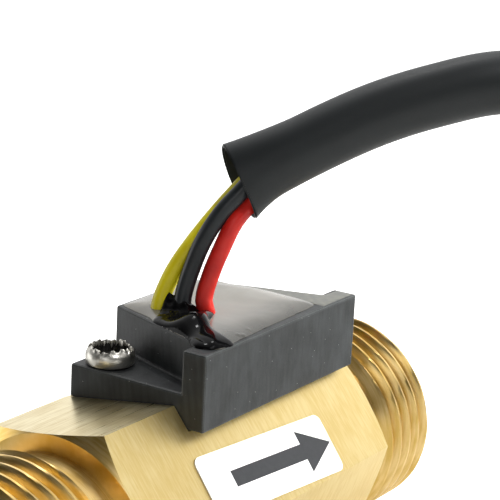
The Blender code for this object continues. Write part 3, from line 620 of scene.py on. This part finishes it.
corner_radius = HEX_RADIUS / math.cos(math.pi / 6)
bar_radius = corner_radius + BAR_SPARE
chamfer_run = (bar_radius - HEX_RADIUS) * math.tan(HEX_CHAMFER)
root_radius = THREAD_RADIUS - THREAD_DEPTH
half_outside = [
    (HEX_HALF - chamfer_run, bar_radius),
    (HEX_HALF, HEX_RADIUS),
    (HEX_HALF, NECK_RADIUS),
    (NECK_END, NECK_RADIUS),
    (NECK_END + CORE_STEP, root_radius - CORE_SINK),
    (HALF, root_radius - CORE_SINK),
]
bore = [
    (HALF, OUTLET_RADIUS + MOUTH_CHAMFER),
    (HALF - MOUTH_CHAMFER, OUTLET_RADIUS),
    (SHOULDER_X, OUTLET_RADIUS),
    (SHOULDER_X, BORE_RADIUS),
    (RING_GROOVE[1], BORE_RADIUS),
    (RING_GROOVE[1], RING_GROOVE[2]),
    (RING_GROOVE[0], RING_GROOVE[2]),
    (RING_GROOVE[0], BORE_RADIUS),
    (-HALF + MOUTH_CHAMFER, BORE_RADIUS),
    (-HALF, BORE_RADIUS + MOUTH_CHAMFER),
]
outside = [(-x, r) for x, r in half_outside][::-1] + half_outside
bar = shape("bar", revolved(outside + bore), pipe_axis)
hexagon = circle(corner_radius, 6)
stand = Matrix.Rotation(math.pi / 2, 4, "Z") @ Matrix.Rotation(math.pi / 2, 4, "X")
flats = shape("flats", prism(hexagon, -2 * HALF, 2 * HALF), pipe_axis @ stand)
housing_low, housing_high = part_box("sensor_housing")
pocket = [
    (housing_low.x - SEAT_GAP, -2 * HALF),
    (housing_high.x + SEAT_GAP, -2 * HALF),
    (housing_high.x + SEAT_GAP, 2 * HALF),
    (housing_low.x - SEAT_GAP, 2 * HALF),
]
milled = shape("milled", prism(pocket, HOUSING_SEAT - SEAT_GAP, 2 * HALF), housing_axis)
drills = [
    shape(
        "drill",
        prism(circle(SCREW_HOLE[1], DRILL_SIDES), SCREW_HOLE[0], 2 * HALF),
        housing_axis @ Matrix.Translation((x, SCREW_Y, 0)),
    )
    for x in (housing_low.x + SCREW_INSET, housing_high.x - SCREW_INSET)
]
cuts = [(flats, "INTERSECT"), (milled, "DIFFERENCE"), *((drill, "DIFFERENCE") for drill in drills)]
for other, operation in cuts:
    cut = bar.modifiers.new(other.name, "BOOLEAN")
    cut.solver = "EXACT"
    cut.operation = operation
    cut.object = other
rounding = bar.modifiers.new("edge_break", "BEVEL")
rounding.width = EDGE_BREAK
rounding.segments = 2
rounding.limit_method = "ANGLE"
rounding.angle_limit = EDGE_ANGLE
rounding.use_clamp_overlap = True
body_mesh = baked(bar, flats, milled, *drills)

THREAD_SIDES = 160
THREAD_ROWS_PER_TURN = 14
THREAD_START = 0.35
FLANK_STEEPNESS = 1.5
ROUNDING = 0.1
RUN_IN_SLOPE = 1.3
THREAD_END_GAP = 0.02 * MM
THREAD_SINK = 0.4 * MM
FLAT_RADIUS = 9.0 * MM


def thread_height(phase):
    """How far up a 55 degree thread is at a phase, from its root 0 to its crest 1, both rounded."""
    rise = 1 - abs(2 * (phase - math.floor(phase)) - 1)
    flank = min(1.0, max(0.0, 0.5 + (rise - 0.5) * FLANK_STEEPNESS))
    return flank + ROUNDING * (3 * flank * flank - 2 * flank**3 - flank)


rows = round((HALF - NECK_END) / THREAD_PITCH * THREAD_ROWS_PER_TURN)
for end in (-1, 1):
    rings = []
    for row in range(rows + 1):
        along = NECK_END + (HALF - THREAD_END_GAP - NECK_END) * row / rows
        ring = []
        for k in range(THREAD_SIDES):
            turn = 2 * math.pi * k / THREAD_SIDES
            phase = end * along / THREAD_PITCH - turn / (2 * math.pi) + THREAD_START
            radius = root_radius + THREAD_DEPTH * thread_height(phase)
            radius = min(radius, NECK_RADIUS + (along - NECK_END) * RUN_IN_SLOPE)
            radius = min(radius, THREAD_RADIUS - END_CHAMFER + HALF - along)
            place = (end * along, radius * math.cos(turn), AXIS_HEIGHT + radius * math.sin(turn))
            ring.append(body_mesh.verts.new(place))
        rings.append(ring)
    # Back to the start inside the core, so that the thread is a closed ring
    closing = []
    for ring in (rings[-1], rings[0]):
        inner_ring = []
        for vert in ring:
            spoke = Vector((0, vert.co.y, vert.co.z - AXIS_HEIGHT)).normalized()
            spoke *= root_radius - THREAD_SINK
            inner_ring.append(body_mesh.verts.new((vert.co.x, spoke.y, spoke.z + AXIS_HEIGHT)))
        closing.append(inner_ring)
    loops = [*rings, *closing]
    for ring, other in zip(loops, loops[1:] + loops[:1]):
        bridge(body_mesh, ring, other)
bmesh.ops.recalc_face_normals(body_mesh, faces=body_mesh.faces)

# Material 0: turned brass. Material 1: the bar's drawn flats, above and below. Material 2: the
# milled flats between them
for face in body_mesh.faces:
    normal = face.normal
    middle = face.calc_center_median()
    from_axis = Vector((middle.y, middle.z - AXIS_HEIGHT)).length
    on_bar = abs(middle.x) < HEX_HALF and from_axis > FLAT_RADIUS
    if not on_bar or abs(normal.x) > 0.2:
        face.material_index = 0
    elif abs(abs(normal.z) - 1) < 0.05:
        face.material_index = 1
    else:
        face.material_index = 2

# Brass shows its pattern by how it was worked: a fine grain along X was drawn, one across it cut
BRASS_PATCH = 4.0 * MM


def brass(name, dark, light, scale, spacing, roughness, depth):
    """Machined brass. The scale makes the noise into lines that are about spacing apart."""
    made, tree, shader, coordinates = surface(name)
    lines = mottle(tree, stretched(tree, coordinates, scale), spacing, 4)
    patches = mottle(tree, coordinates, BRASS_PATCH, 4)
    marked = add(tree, "ShaderNodeMix", {0: 0.6, 2: patches, 3: lines}).outputs[0]
    shader.inputs["Metallic"].default_value = 1.0
    finish_with(
        tree,
        shader,
        tones(tree, marked, dark, light, 0.4, 0.6),
        spread(tree, lines, *roughness),
        relief(tree, lines, 0.5, depth),
    )
    return made


# Turned: amber, with fine rings round the axis
turned_brass = brass(
    "turned_brass", "D9B564", "EED090", (1.0, 0.05, 0.05), 0.15 * MM, (0.24, 0.4), 0.01 * MM
)
# Drawn: paler and smoother, with lines along the bar, so the housing is mirrored in it
drawn_brass = brass(
    "drawn_brass", "D3C08C", "EEE2BA", (0.04, 1.0, 1.0), 0.2 * MM, (0.22, 0.38), 0.012 * MM
)
# Milled: bright yellow and duller, with lines across the bar
milled_brass = brass(
    "milled_brass", "EBD08A", "F5DFA2", (1.0, 0.1, 0.1), 0.2 * MM, (0.34, 0.52), 0.03 * MM
)
body_piece = piece(
    "threaded_brass_body", body_mesh, turned_brass, drawn_brass, milled_brass, sharp=28
)
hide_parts("brass_body")

# Cartridge in the bore
# Guide, rotor and support are moulded acetal, the rotor black and the rest white. The axle is
# ground stainless steel, the bushes sintered bronze and the magnet pressed ferrite.

MOULDED_CLOUD = 3.0 * MM


def moulded(name, dark, light, roughness):
    """A moulded or fired material with a faint mottle."""
    made, tree, shader, coordinates = surface(name)
    cloud = mottle(tree, coordinates, MOULDED_CLOUD, 3)
    shader.inputs["Roughness"].default_value = roughness
    finish_with(
        tree, shader, tones(tree, cloud, dark, light), None, relief(tree, cloud, 0.1, 0.03 * MM)
    )
    return made


def ground_metal(name, colour, roughness, spacing, metallic=1.0):
    """A metal or sinter whose grain shows in its gloss."""
    made, tree, shader, coordinates = surface(name)
    grain = mottle(tree, coordinates, spacing, 4)
    shader.inputs["Base Color"].default_value = linear(colour)
    shader.inputs["Metallic"].default_value = metallic
    finish_with(
        tree, shader, None, spread(tree, grain, *roughness), relief(tree, grain, 0.2, 0.01 * MM)
    )
    return made


# Moulded acetal: waxy and even, with a soft sheen
white_acetal = moulded("moulded_white_acetal", "DAD8CE", "ECEAE2", 0.4)
black_acetal = moulded("moulded_black_acetal", "202224", "2C2E30", 0.42)
# Ground steel: pale and bright, its gloss uneven from the wheel
ground_steel = ground_metal("ground_stainless_steel", "C2C4C6", (0.18, 0.34), 0.15 * MM)
# Sintered bronze: brown and dull, with a fine open grain
sintered_bronze = ground_metal("sintered_bronze", "A58454", (0.4, 0.65), 0.12 * MM)
# Pressed ferrite: charcoal and nearly matt
pressed_ferrite = ground_metal("pressed_ferrite", "3C3C3E", (0.5, 0.75), 0.1 * MM, 0.0)
# Board and its parts: green lacquer, black epoxy with a low sheen, and tan fired ceramic
board_laminate = moulded("green_board_laminate", "27593A", "31704A", 0.35)
moulded_epoxy = moulded("moulded_black_epoxy", "17181A", "222325", 0.45)
fired_ceramic = moulded("fired_ceramic", "8C6E50", "A58A6C", 0.4)
CAD_FINISHES = {
    "flow_guide": white_acetal,
    "outlet_support": white_acetal,
    "turbine_rotor": black_acetal,
    "ring_magnet": pressed_ferrite,
    "rotor_axle": ground_steel,
    "retaining_ring": ground_steel,
    "inlet_bush": sintered_bronze,
    "outlet_bush": sintered_bronze,
    "circuit_board": board_laminate,
    "hall_chip": moulded_epoxy,
    "pull_up_resistor": moulded_epoxy,
    "filter_capacitor": fired_ceramic,
}
for name, finish in CAD_FINISHES.items():
    refinish(name, finish)

# Housing
# A moulded tray of black glass-filled plastic with two low shelves for the screws. Its long wall
# has upright end posts, and its edges are a little rounded, rubbed and painted with a pale
# highlight.

# Glass-filled plastic, moulded and rubbed: dull dark grey with pale specks of fibre and dust, and
# pale edges that are partly wear and partly a painted highlight
PLASTIC_GRAIN = 0.12 * MM
PLASTIC_CLOUD = 3.0 * MM
PLASTIC_STREAK = 0.45 * MM
SPECK_SPACING = 0.8 * MM
SPECK_RADIUS = 0.055
RUBBED_HIGHLIT_EDGE = 0.3 * MM
# How far an edge turns the surface where its wear and painted highlight start, and where they are
# strongest
WORN_HIGHLIT_TURN = (0.995, 0.9)


def blend(tree, share, first, second):
    """A colour that goes from the first to the second with the share."""
    ends = {0: share, 6: first, 7: second}
    return add(tree, "ShaderNodeMix", ends, data_type="RGBA").outputs[2]


black_plastic, tree, shader, coordinates = surface("moulded_glass_filled_plastic")
grain = mottle(tree, coordinates, PLASTIC_GRAIN, 4)
cloud = mottle(tree, coordinates, PLASTIC_CLOUD, 5)
streaks = mottle(tree, stretched(tree, coordinates, (1.0, 1.0, 0.12)), PLASTIC_STREAK, 3)
marks = add(tree, "ShaderNodeMix", {0: 0.45, 2: cloud, 3: streaks}).outputs[0]
specks = add(tree, "ShaderNodeTexVoronoi", {"Vector": coordinates, "Scale": 1 / SPECK_SPACING})
speck = add(
    tree, "ShaderNodeMath", {0: specks.outputs["Distance"], 1: SPECK_RADIUS}, operation="LESS_THAN"
)
dusty = blend(
    tree, speck.outputs[0], tones(tree, marks, "181A1B", "343738", 0.35, 0.68), linear("8E908C")
)
# The edges are painted paler in a broken line, partly wear and partly a painted highlight
flat_normal = add(tree, "ShaderNodeNewGeometry")
round_normal = add(tree, "ShaderNodeBevel", {"Radius": RUBBED_HIGHLIT_EDGE}, samples=6)
turned = add(
    tree,
    "ShaderNodeVectorMath",
    {0: flat_normal.outputs["Normal"], 1: round_normal.outputs["Normal"]},
    operation="DOT_PRODUCT",
)
worn_and_highlit = spread(tree, turned.outputs["Value"], 0.0, 1.0, *WORN_HIGHLIT_TURN)
edge_wear_and_highlight = add(tree, "ShaderNodeMath", {0: worn_and_highlit, 1: grain}, operation="MULTIPLY")
# The pale edge grey is partly wear and partly a painted highlight
finish_with(
    tree,
    shader,
    blend(tree, edge_wear_and_highlight.outputs[0], dusty, linear("6E716F")),
    spread(tree, grain, 0.4, 0.62),
    relief(tree, grain, 0.35, 0.02 * MM),
)
refinish("sensor_housing", black_plastic)

# Housing screws
# Nickel-plated pan heads with a cross recess. The driver has chewed the recess, so its edge stands
# up in bright burrs round a hole whose inside is painted dark as shade.

SHELF_TOP = 13.0 * MM
HEAD_RADIUS = 2.35 * MM
HEAD_HEIGHT = 1.9 * MM
HEAD_SIDE = 0.8 * MM
SHANK_RADIUS = 1.25 * MM
SCREW_LENGTH = 5.0 * MM
RECESS_REACH = 2.0 * MM
RECESS_HALF = 0.5 * MM
RECESS_ROUND = 1.8 * MM
RECESS_DEPTH = 1.5 * MM
BURR_HEIGHT = 0.2 * MM
BURR_OUT = 0.06 * MM
BURR_WIDTH = 0.15 * MM
RECESS_WALL = 0.16 * MM
# Height or reach of each unevenness, and how far apart its lumps are
RAGGED = (0.25 * MM, 0.6 * MM)
BURR_SPACING = 0.4 * MM
DENT = (0.05 * MM, 0.9 * MM)
# Depth below the dome from which the recess is painted dark, a painted shade
SHADED_BELOW = 0.3 * MM
HEAD_SIDES = 144
HEAD_RINGS = 44
# Nickel plate: bright and silvery, its gloss scuffed. Inside the recess: steel painted dark, a
# painted shade
nickel = ground_metal("nickel_plated_steel", "D6D3CA", (0.2, 0.5), 0.5 * MM)
recess_shade_steel = ground_metal("painted_recess_shade_steel", "2A2825", (0.35, 0.6), 0.2 * MM, 0.5)


def dome_height(share):
    """Height of the head's low dome above its seat, at a share of its radius."""
    return HEAD_SIDE + (HEAD_HEIGHT - HEAD_SIDE) * math.sqrt(max(0.0, 1 - share**2.6))


def head_top(x, y, seed):
    """Height of the screw's top above its seat: a low dome, the recess and the burr round it."""
    share = min(1.0, math.hypot(x, y) / HEAD_RADIUS)
    near_x = max(abs(x) - RECESS_REACH, abs(y) - RECESS_HALF)
    near_y = max(abs(y) - RECESS_REACH, abs(x) - RECESS_HALF)
    round_hole = math.hypot(x, y) - RECESS_ROUND
    ragged = RAGGED[0] * noise.noise(Vector((x, y, seed)) / RAGGED[1])
    edge = min(near_x, near_y, round_hole) + ragged
    wall = min(1.0, max(0.0, -edge / RECESS_WALL))
    burr = math.exp(-(((edge - BURR_OUT) / BURR_WIDTH) ** 2)) * BURR_HEIGHT
    burr *= 0.7 + 1.2 * noise.noise(Vector((x, y, seed + 5)) / BURR_SPACING)
    dent = DENT[0] * noise.noise(Vector((x, y, seed + 9)) / DENT[1])
    slope = RECESS_DEPTH * (1 - 0.4 * share)
    return dome_height(share) + burr + dent - wall * slope


for number, (name, end) in enumerate((("inlet_housing_screw", -1), ("outlet_housing_screw", 1))):
    middle_x = housing_low.x + SCREW_INSET if end < 0 else housing_high.x - SCREW_INSET
    seat = housing_axis @ Matrix.Translation((middle_x, SCREW_Y, SHELF_TOP + SEAT_GAP))
    seat = seat @ Matrix.Rotation(math.radians(22 + 30 * number), 4, "Z")
    seed = number * 9.0
    screw = bmesh.new()
    rings = []
    for ring_number in range(1, HEAD_RINGS + 1):
        places = circle(HEAD_RADIUS * ring_number / HEAD_RINGS, HEAD_SIDES)
        points = [Vector((x, y, head_top(x, y, seed))) for x, y in places]
        rings.append([screw.verts.new(seat @ point) for point in points])
    centre = screw.verts.new(seat @ Vector((0, 0, head_top(0.0, 0.0, seed))))
    for k in range(HEAD_SIDES):
        screw.faces.new([centre, rings[0][k], rings[0][(k + 1) % HEAD_SIDES]])
    # The head's rounded lower edge, its underside, and the shank with its blunt point
    side = [
        (HEAD_RADIUS * 0.985, 0.12 * MM),
        (HEAD_RADIUS * 0.93, 0.0),
        (SHANK_RADIUS, 0.0),
        (SHANK_RADIUS, 0.4 * MM - SCREW_LENGTH),
        (0.7 * SHANK_RADIUS, -SCREW_LENGTH),
    ]
    for radius, height in side:
        points = [Vector((x, y, height)) for x, y in circle(radius, HEAD_SIDES)]
        rings.append([screw.verts.new(seat @ point) for point in points])
    for ring, other in zip(rings, rings[1:]):
        bridge(screw, other, ring)
    screw.faces.new(rings[-1])
    bmesh.ops.recalc_face_normals(screw, faces=screw.faces)
    # Faces deep in the recess, below the dome, take the dark steel: a painted shade
    axis_back = seat.inverted()
    for face in screw.faces:
        place = axis_back @ face.calc_center_median()
        share = min(1.0, math.hypot(place.x, place.y) / HEAD_RADIUS)
        if share < 0.85 and 0 < place.z < dome_height(share) - SHADED_BELOW:
            face.material_index = 1
    screw_piece = piece(name.replace("housing", "pan_head"), screw, nickel, recess_shade_steel, sharp=50)
    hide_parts(name)

# Potting
# Two-part resin, poured into the tray until it stood over the rim, where it crept over the edges
# before it set. It is a glossy warm grey, with a few bubbles at the front and the back.

RIM_TOP = 17.1 * MM
RESIN_LIFT = 0.03 * MM
SMEAR_LIFT = 0.01 * MM
POTTING_OUTLINE = [
    (-5.9, -7.3),
    (-2.0, -7.25),
    (4.0, -6.95),
    (10.8, -6.7),
    (12.2, -6.3),
    (12.8, -4.9),
    (13.0, -2.0),
    (13.0, 0.7),
    (12.6, 3.0),
    (11.9, 5.2),
    (11.1, 6.9),
    (9.5, 7.3),
    (0.5, 7.3),
    (-0.8, 7.0),
    (-1.4, 5.6),
    (-2.2, 3.0),
    (-3.4, 1.0),
    (-5.2, -4.2),
]
TRAY_FILL = [
    (-3.0 * MM, -6.3 * MM),
    (12.5 * MM, -6.3 * MM),
    (12.5 * MM, 6.3 * MM),
    (0.4 * MM, 6.3 * MM),
]
FILL_LOW = 13.8 * MM
# The thin smear that the pour left over the right rim and its post
SMEAR_OUTLINE = [
    (12.4, -7.35),
    (17.8, -7.35),
    (17.85, -5.6),
    (15.6, -5.4),
    (14.8, -3.0),
    (13.8, 0.0),
    (12.4, 4.0),
    (11.4, 6.9),
    (10.4, 6.9),
    (11.6, 0.0),
]
SMEAR_GRID = 0.3 * MM
SMEAR = 0.05 * MM
SMEAR_EDGE = 0.4 * MM
POTTING_GRID = 0.22 * MM
POTTING_CROWN = 0.38 * MM
POTTING_EDGE = 2.6 * MM
# Height and spacing of the slow waves
POTTING_WAVE = (0.06 * MM, 4 * MM)
SKIRT = 0.05 * MM
BUBBLE_HEIGHT = 0.14 * MM
# Place and radius of each bubble (mm)
BUBBLES = [
    (-0.95, -6.9, 0.22),
    (-1.3, -6.6, 0.16),
    (0.6, -6.4, 0.14),
    (9.0, 5.0, 0.18),
    (6.2, 6.3, 0.22),
]


def nearest_side(x, y, outline):
    """Distance from a place to an outline, negative outside it, and the outline's nearest point."""
    nearest = (math.inf, None)
    inside = False
    for (x0, y0), (x1, y1) in zip(outline, outline[1:] + outline[:1]):
        run_x, run_y = x1 - x0, y1 - y0
        share = ((x - x0) * run_x + (y - y0) * run_y) / (run_x**2 + run_y**2)
        share = min(1.0, max(0.0, share))
        foot = (x0 + share * run_x, y0 + share * run_y)
        nearest = min(nearest, (math.hypot(x - foot[0], y - foot[1]), foot))
        if (y0 > y) != (y1 > y) and x < x0 + run_x * (y - y0) / run_y:
            inside = not inside
    away, foot = nearest
    return (away if inside else -away), foot


def closed_curve(points, steps):
    """A smooth closed outline through points."""
    count = len(points)
    curve = []
    for i in range(count):
        p = [Vector(points[(i + k) % count]) for k in (-1, 0, 1, 2)]
        for k in range(steps):
            t = k / steps
            curve.append(
                tuple(
                    0.5
                    * (
                        2 * p[1]
                        + (p[2] - p[0]) * t
                        + (2 * p[0] - 5 * p[1] + 4 * p[2] - p[3]) * t**2
                        + (3 * p[1] - p[0] - 3 * p[2] + p[3]) * t**3
                    )
                )
            )
    return curve


def pool(outline, grid, base, height):
    """A set liquid in the housing's frame: a grid trimmed to the outline, with a flat base."""
    xs, ys = [p[0] for p in outline], [p[1] for p in outline]
    columns = math.ceil((max(xs) - min(xs)) / grid) + 2
    lines = math.ceil((max(ys) - min(ys)) / grid) + 2
    bm = bmesh.new()
    tops = {}
    for i in range(columns):
        for j in range(lines):
            x, y = min(xs) - grid / 2 + i * grid, min(ys) - grid / 2 + j * grid
            depth, foot = nearest_side(x, y, outline)
            if depth > -0.75 * grid:
                if depth < 0:
                    (x, y), depth = foot, 0.0
                tops[i, j] = bm.verts.new((x, y, base + height(x, y, max(0.0, depth))))
    for i in range(columns - 1):
        for j in range(lines - 1):
            corners = [tops.get(key) for key in ((i, j), (i + 1, j), (i + 1, j + 1), (i, j + 1))]
            corners = [corner for corner in corners if corner]
            if len(corners) > 2:
                bm.faces.new(corners)
    loose = [v for v in bm.verts if not v.link_faces]
    bmesh.ops.delete(bm, geom=loose, context="VERTS")
    border = [e for e in bm.edges if e.is_boundary]
    skirt = bmesh.ops.extrude_edge_only(bm, edges=border)["geom"]
    low = [v for v in skirt if isinstance(v, bmesh.types.BMVert)]
    for vert in low:
        vert.co.z = base - SKIRT
    bmesh.ops.contextual_create(bm, geom=[e for e in bm.edges if e.is_boundary])
    bm.transform(housing_axis)
    bmesh.ops.recalc_face_normals(bm, faces=bm.faces)
    return bm


def join(bm, other):
    """Adds a second bmesh to the first."""
    mesh = bpy.data.meshes.new("joined")
    other.to_mesh(mesh)
    other.free()
    bm.from_mesh(mesh)
    bpy.data.meshes.remove(mesh)


def edge_profile(depth, width, power=0.5):
    """A rounded share from 0 at an outline to 1 at width inside it. A power of 1 starts flatter."""
    share = min(1.0, depth / width)
    return (share * (2 - share)) ** power


def resin_height(x, y, depth):
    """The potting's top: a crown, a slow waviness and the bubbles under its skin."""
    height = POTTING_CROWN * edge_profile(depth, POTTING_EDGE, 0.85)
    wave = noise.noise(Vector((x, y, 0)) / POTTING_WAVE[1])
    height += POTTING_WAVE[0] * wave * min(1.0, depth / POTTING_EDGE)
    for bubble_x, bubble_y, radius in BUBBLES:
        away = math.hypot(x - bubble_x * MM, y - bubble_y * MM) / (radius * MM)
        height += BUBBLE_HEIGHT * math.exp(-(away**2) * 1.5)
    return height


def smear_height(x, y, depth):
    """The smear's top: a film with a rounded edge."""
    return SMEAR * edge_profile(depth, SMEAR_EDGE)


# Set epoxy: clear gloss over a milky grey body, with faint streaks where the two parts met. It is
# thin at the front, where the black tray shows through it
RESIN_CLOUD = 6.0 * MM
RESIN_WAVER = 3.0 * MM
THIN_FRONT = (-8.6 * MM, -3.6 * MM)
potting, tree, shader, coordinates = surface("poured_epoxy")
cloud = mottle(tree, coordinates, RESIN_CLOUD, 4, Distortion=0.6)
apart = add(tree, "ShaderNodeSeparateXYZ", {"Vector": coordinates})
wavering = add(
    tree,
    "ShaderNodeMath",
    {0: cloud, 1: RESIN_WAVER, 2: apart.outputs["Y"]},
    operation="MULTIPLY_ADD",
)
thick = spread(
    tree, wavering.outputs[0], 0.0, 1.0, *THIN_FRONT, interpolation_type="SMOOTHSTEP"
)
body_tone = tones(tree, cloud, "6B6860", "7E7B73", 0.3, 0.7)
shader.inputs["Roughness"].default_value = 0.16
finish_with(tree, shader, blend(tree, thick, linear("393832"), body_tone))

# The same epoxy as a film that the dark rim shows through: grey olive, its gloss broken by dust
SMEAR_DUST = 0.6 * MM
smeared, tree, shader, coordinates = surface("thin_epoxy_smear")
dust = mottle(tree, coordinates, SMEAR_DUST, 4)
finish_with(
    tree, shader, tones(tree, dust, "4C4D48", "66665E", 0.35, 0.65), spread(tree, dust, 0.25, 0.5)
)

resin_outline = [(x * MM, y * MM) for x, y in closed_curve(POTTING_OUTLINE, 6)]
resin = pool(resin_outline, POTTING_GRID, RIM_TOP + RESIN_LIFT, resin_height)
fill = prism(TRAY_FILL, FILL_LOW, RIM_TOP)
fill.transform(housing_axis)
join(resin, fill)
smear_outline = [(x * MM, y * MM) for x, y in SMEAR_OUTLINE]
smear = pool(smear_outline, SMEAR_GRID, RIM_TOP + SMEAR_LIFT, smear_height)
for face in smear.faces:
    face.material_index = 1
join(resin, smear)
resin_piece = piece("poured_potting", resin, potting, smeared, sharp=60)
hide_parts("potting_resin")

# Glue at the roots
# A glossy black glue that holds the wires where they leave the potting. It was piled up round
# them, ran down to the front corner in a drip and set wet-looking, with a rounded front bead.

GLUE_OUTLINE = [
    (1.4, 4.4),
    (-0.1, 3.1),
    (-1.4, 2.5),
    (-2.8, 2.1),
    (-3.5, 0.8),
    (-4.2, -1.2),
    (-5.0, -3.4),
    (-6.0, -4.5),
    (-6.7, -5.6),
    (-6.3, -6.9),
    (-5.2, -7.4),
    (-3.5, -7.55),
    (-3.0, -6.0),
    (-2.2, -4.2),
    (-0.1, -2.5),
    (1.9, -1.6),
    (2.7, -0.4),
    (2.4, 1.6),
    (2.5, 3.6),
]
GLUE_GRID = 0.15 * MM
GLUE_FILM = 0.12 * MM
GLUE_EDGE = 0.65 * MM
GLUE_CLIMB = 0.3 * MM
GLUE_CLIMB_REACH = 0.35 * MM
GLUE_LUMP = 0.5 * MM
LUMP_SPACING = (0.75 * MM, 0.35 * MM)
# Place and radius of the lumpy pile round the wires (mm)
PILE = (0.7, 2.0, 1.9)
# Place, radii and height of each heap (mm)
GLUE_HEAPS = [
    (-3.1, -2.1, 1.8, 1.8, 0.7),
    (-1.5, -2.6, 2.0, 1.7, 0.75),
    (-4.9, -5.6, 2.4, 2.2, 0.45),
    (0.5, -1.8, 1.3, 1.0, 0.45),
    (0.5, 2.5, 1.2, 1.1, 0.9),
    (0.6, 0.9, 1.1, 1.0, 0.5),
]


def resin_top(x, y):
    """Height of the potting above its rim at a place, and none beside it."""
    depth = nearest_side(x, y, resin_outline)[0]
    return resin_height(x, y, depth) if depth > 0 else 0.0


def glue_height(x, y, depth):
    """The glue's top: a film on the potting, heaps, a climb at two wires and lumps in the pile."""
    rim = edge_profile(depth, GLUE_EDGE)
    height = GLUE_FILM
    for heap_x, heap_y, radius_x, radius_y, heap in GLUE_HEAPS:
        away = ((x / MM - heap_x) / radius_x) ** 2 + ((y / MM - heap_y) / radius_y) ** 2
        height += heap * MM * math.exp(-away)
    for name in ("signal_wire", "ground_wire"):
        root = WIRES[name][2]
        away = math.hypot(x - root[0] * MM, y - root[1] * MM) - WIRE_DIAMETER / 2
        height += GLUE_CLIMB * math.exp(-((max(0.0, away) / GLUE_CLIMB_REACH) ** 1.3))
    pile_x, pile_y, pile_radius = PILE
    heaped = ((x / MM - pile_x) / pile_radius) ** 2 + ((y / MM - pile_y) / pile_radius) ** 2
    lump = noise.noise(Vector((x, y, 3.0 * MM)) / LUMP_SPACING[0])
    lump += 0.5 * noise.noise(Vector((x, y, 7.0 * MM)) / LUMP_SPACING[1])
    return (height + GLUE_LUMP * lump * math.exp(-heaped)) * rim + resin_top(x, y)


# Set cyanoacrylate with carbon black: a mirror-like skin over black, frosted grey in patches
GLUE_WRINKLE = 1.6 * MM
black_glue, tree, shader, coordinates = surface("set_black_glue")
wrinkle = mottle(tree, coordinates, GLUE_WRINKLE)
shader.inputs["Base Color"].default_value = linear("0A0A0B")
shader.inputs["IOR"].default_value = 1.25
shader.inputs["Specular IOR Level"].default_value = 0.25
finish_with(tree, shader, None, spread(tree, wrinkle, 0.1, 0.35, 0.55, 0.7))

glue_outline = [(x * MM, y * MM) for x, y in closed_curve(GLUE_OUTLINE, 6)]
glue = pool(glue_outline, GLUE_GRID, RIM_TOP, glue_height)
glue_piece = piece("set_root_glue", glue, black_glue, sharp=70)
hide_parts("root_glue")

# Label
# A white paper sticker with one printed arrow for the direction of flow. It sits a little askew
# on the flat that faces the front.

LABEL_TURN = math.radians(-3.7)
LABEL_X = 0.15 * MM
LABEL_DROP = 2.5 * MM
LABEL_TOP = HEX_RADIUS + 0.15 * MM
INK_LOW = 0.005 * MM
INK_HIGH = 0.012 * MM
ARROW_TAIL = -6.0 * MM
ARROW_NECK = 5.25 * MM
ARROW_TIP = 9.8 * MM
ARROW_HALF = 2.15 * MM
SHAFT_HALF = 0.8 * MM

# Coated paper: near white with a little fibre in it
PAPER_FIBRE = 0.3 * MM
label_paper, tree, shader, coordinates = surface("coated_label_paper")
fibre = mottle(tree, coordinates, PAPER_FIBRE, 4)
shader.inputs["Roughness"].default_value = 0.5
finish_with(tree, shader, tones(tree, fibre, "EEEDE7", "F8F7F3"))
refinish("flow_label", label_paper)

# Screen-printed ink: matt charcoal, a little uneven where it is thin
INK_PATCH = 0.5 * MM
arrow_ink, tree, shader, coordinates = surface("screen_printed_ink")
patch = mottle(tree, coordinates, INK_PATCH, 3)
shader.inputs["Roughness"].default_value = 0.6
finish_with(tree, shader, tones(tree, patch, "26272A", "333436"))

label_axis = (
    pipe_axis
    @ Matrix.Rotation(math.pi / 3, 4, "X")
    @ Matrix.Translation((LABEL_X, -LABEL_DROP, LABEL_TOP))
    @ Matrix.Rotation(LABEL_TURN, 4, "Z")
)
arrow_outline = [
    (ARROW_TAIL, -SHAFT_HALF),
    (ARROW_NECK, -SHAFT_HALF),
    (ARROW_NECK, -ARROW_HALF),
    (ARROW_TIP, 0.0),
    (ARROW_NECK, ARROW_HALF),
    (ARROW_NECK, SHAFT_HALF),
    (ARROW_TAIL, SHAFT_HALF),
]
arrow = prism(arrow_outline, INK_LOW, INK_HIGH)
arrow.transform(label_axis)
arrow_piece = piece("flow_arrow", arrow, arrow_ink)
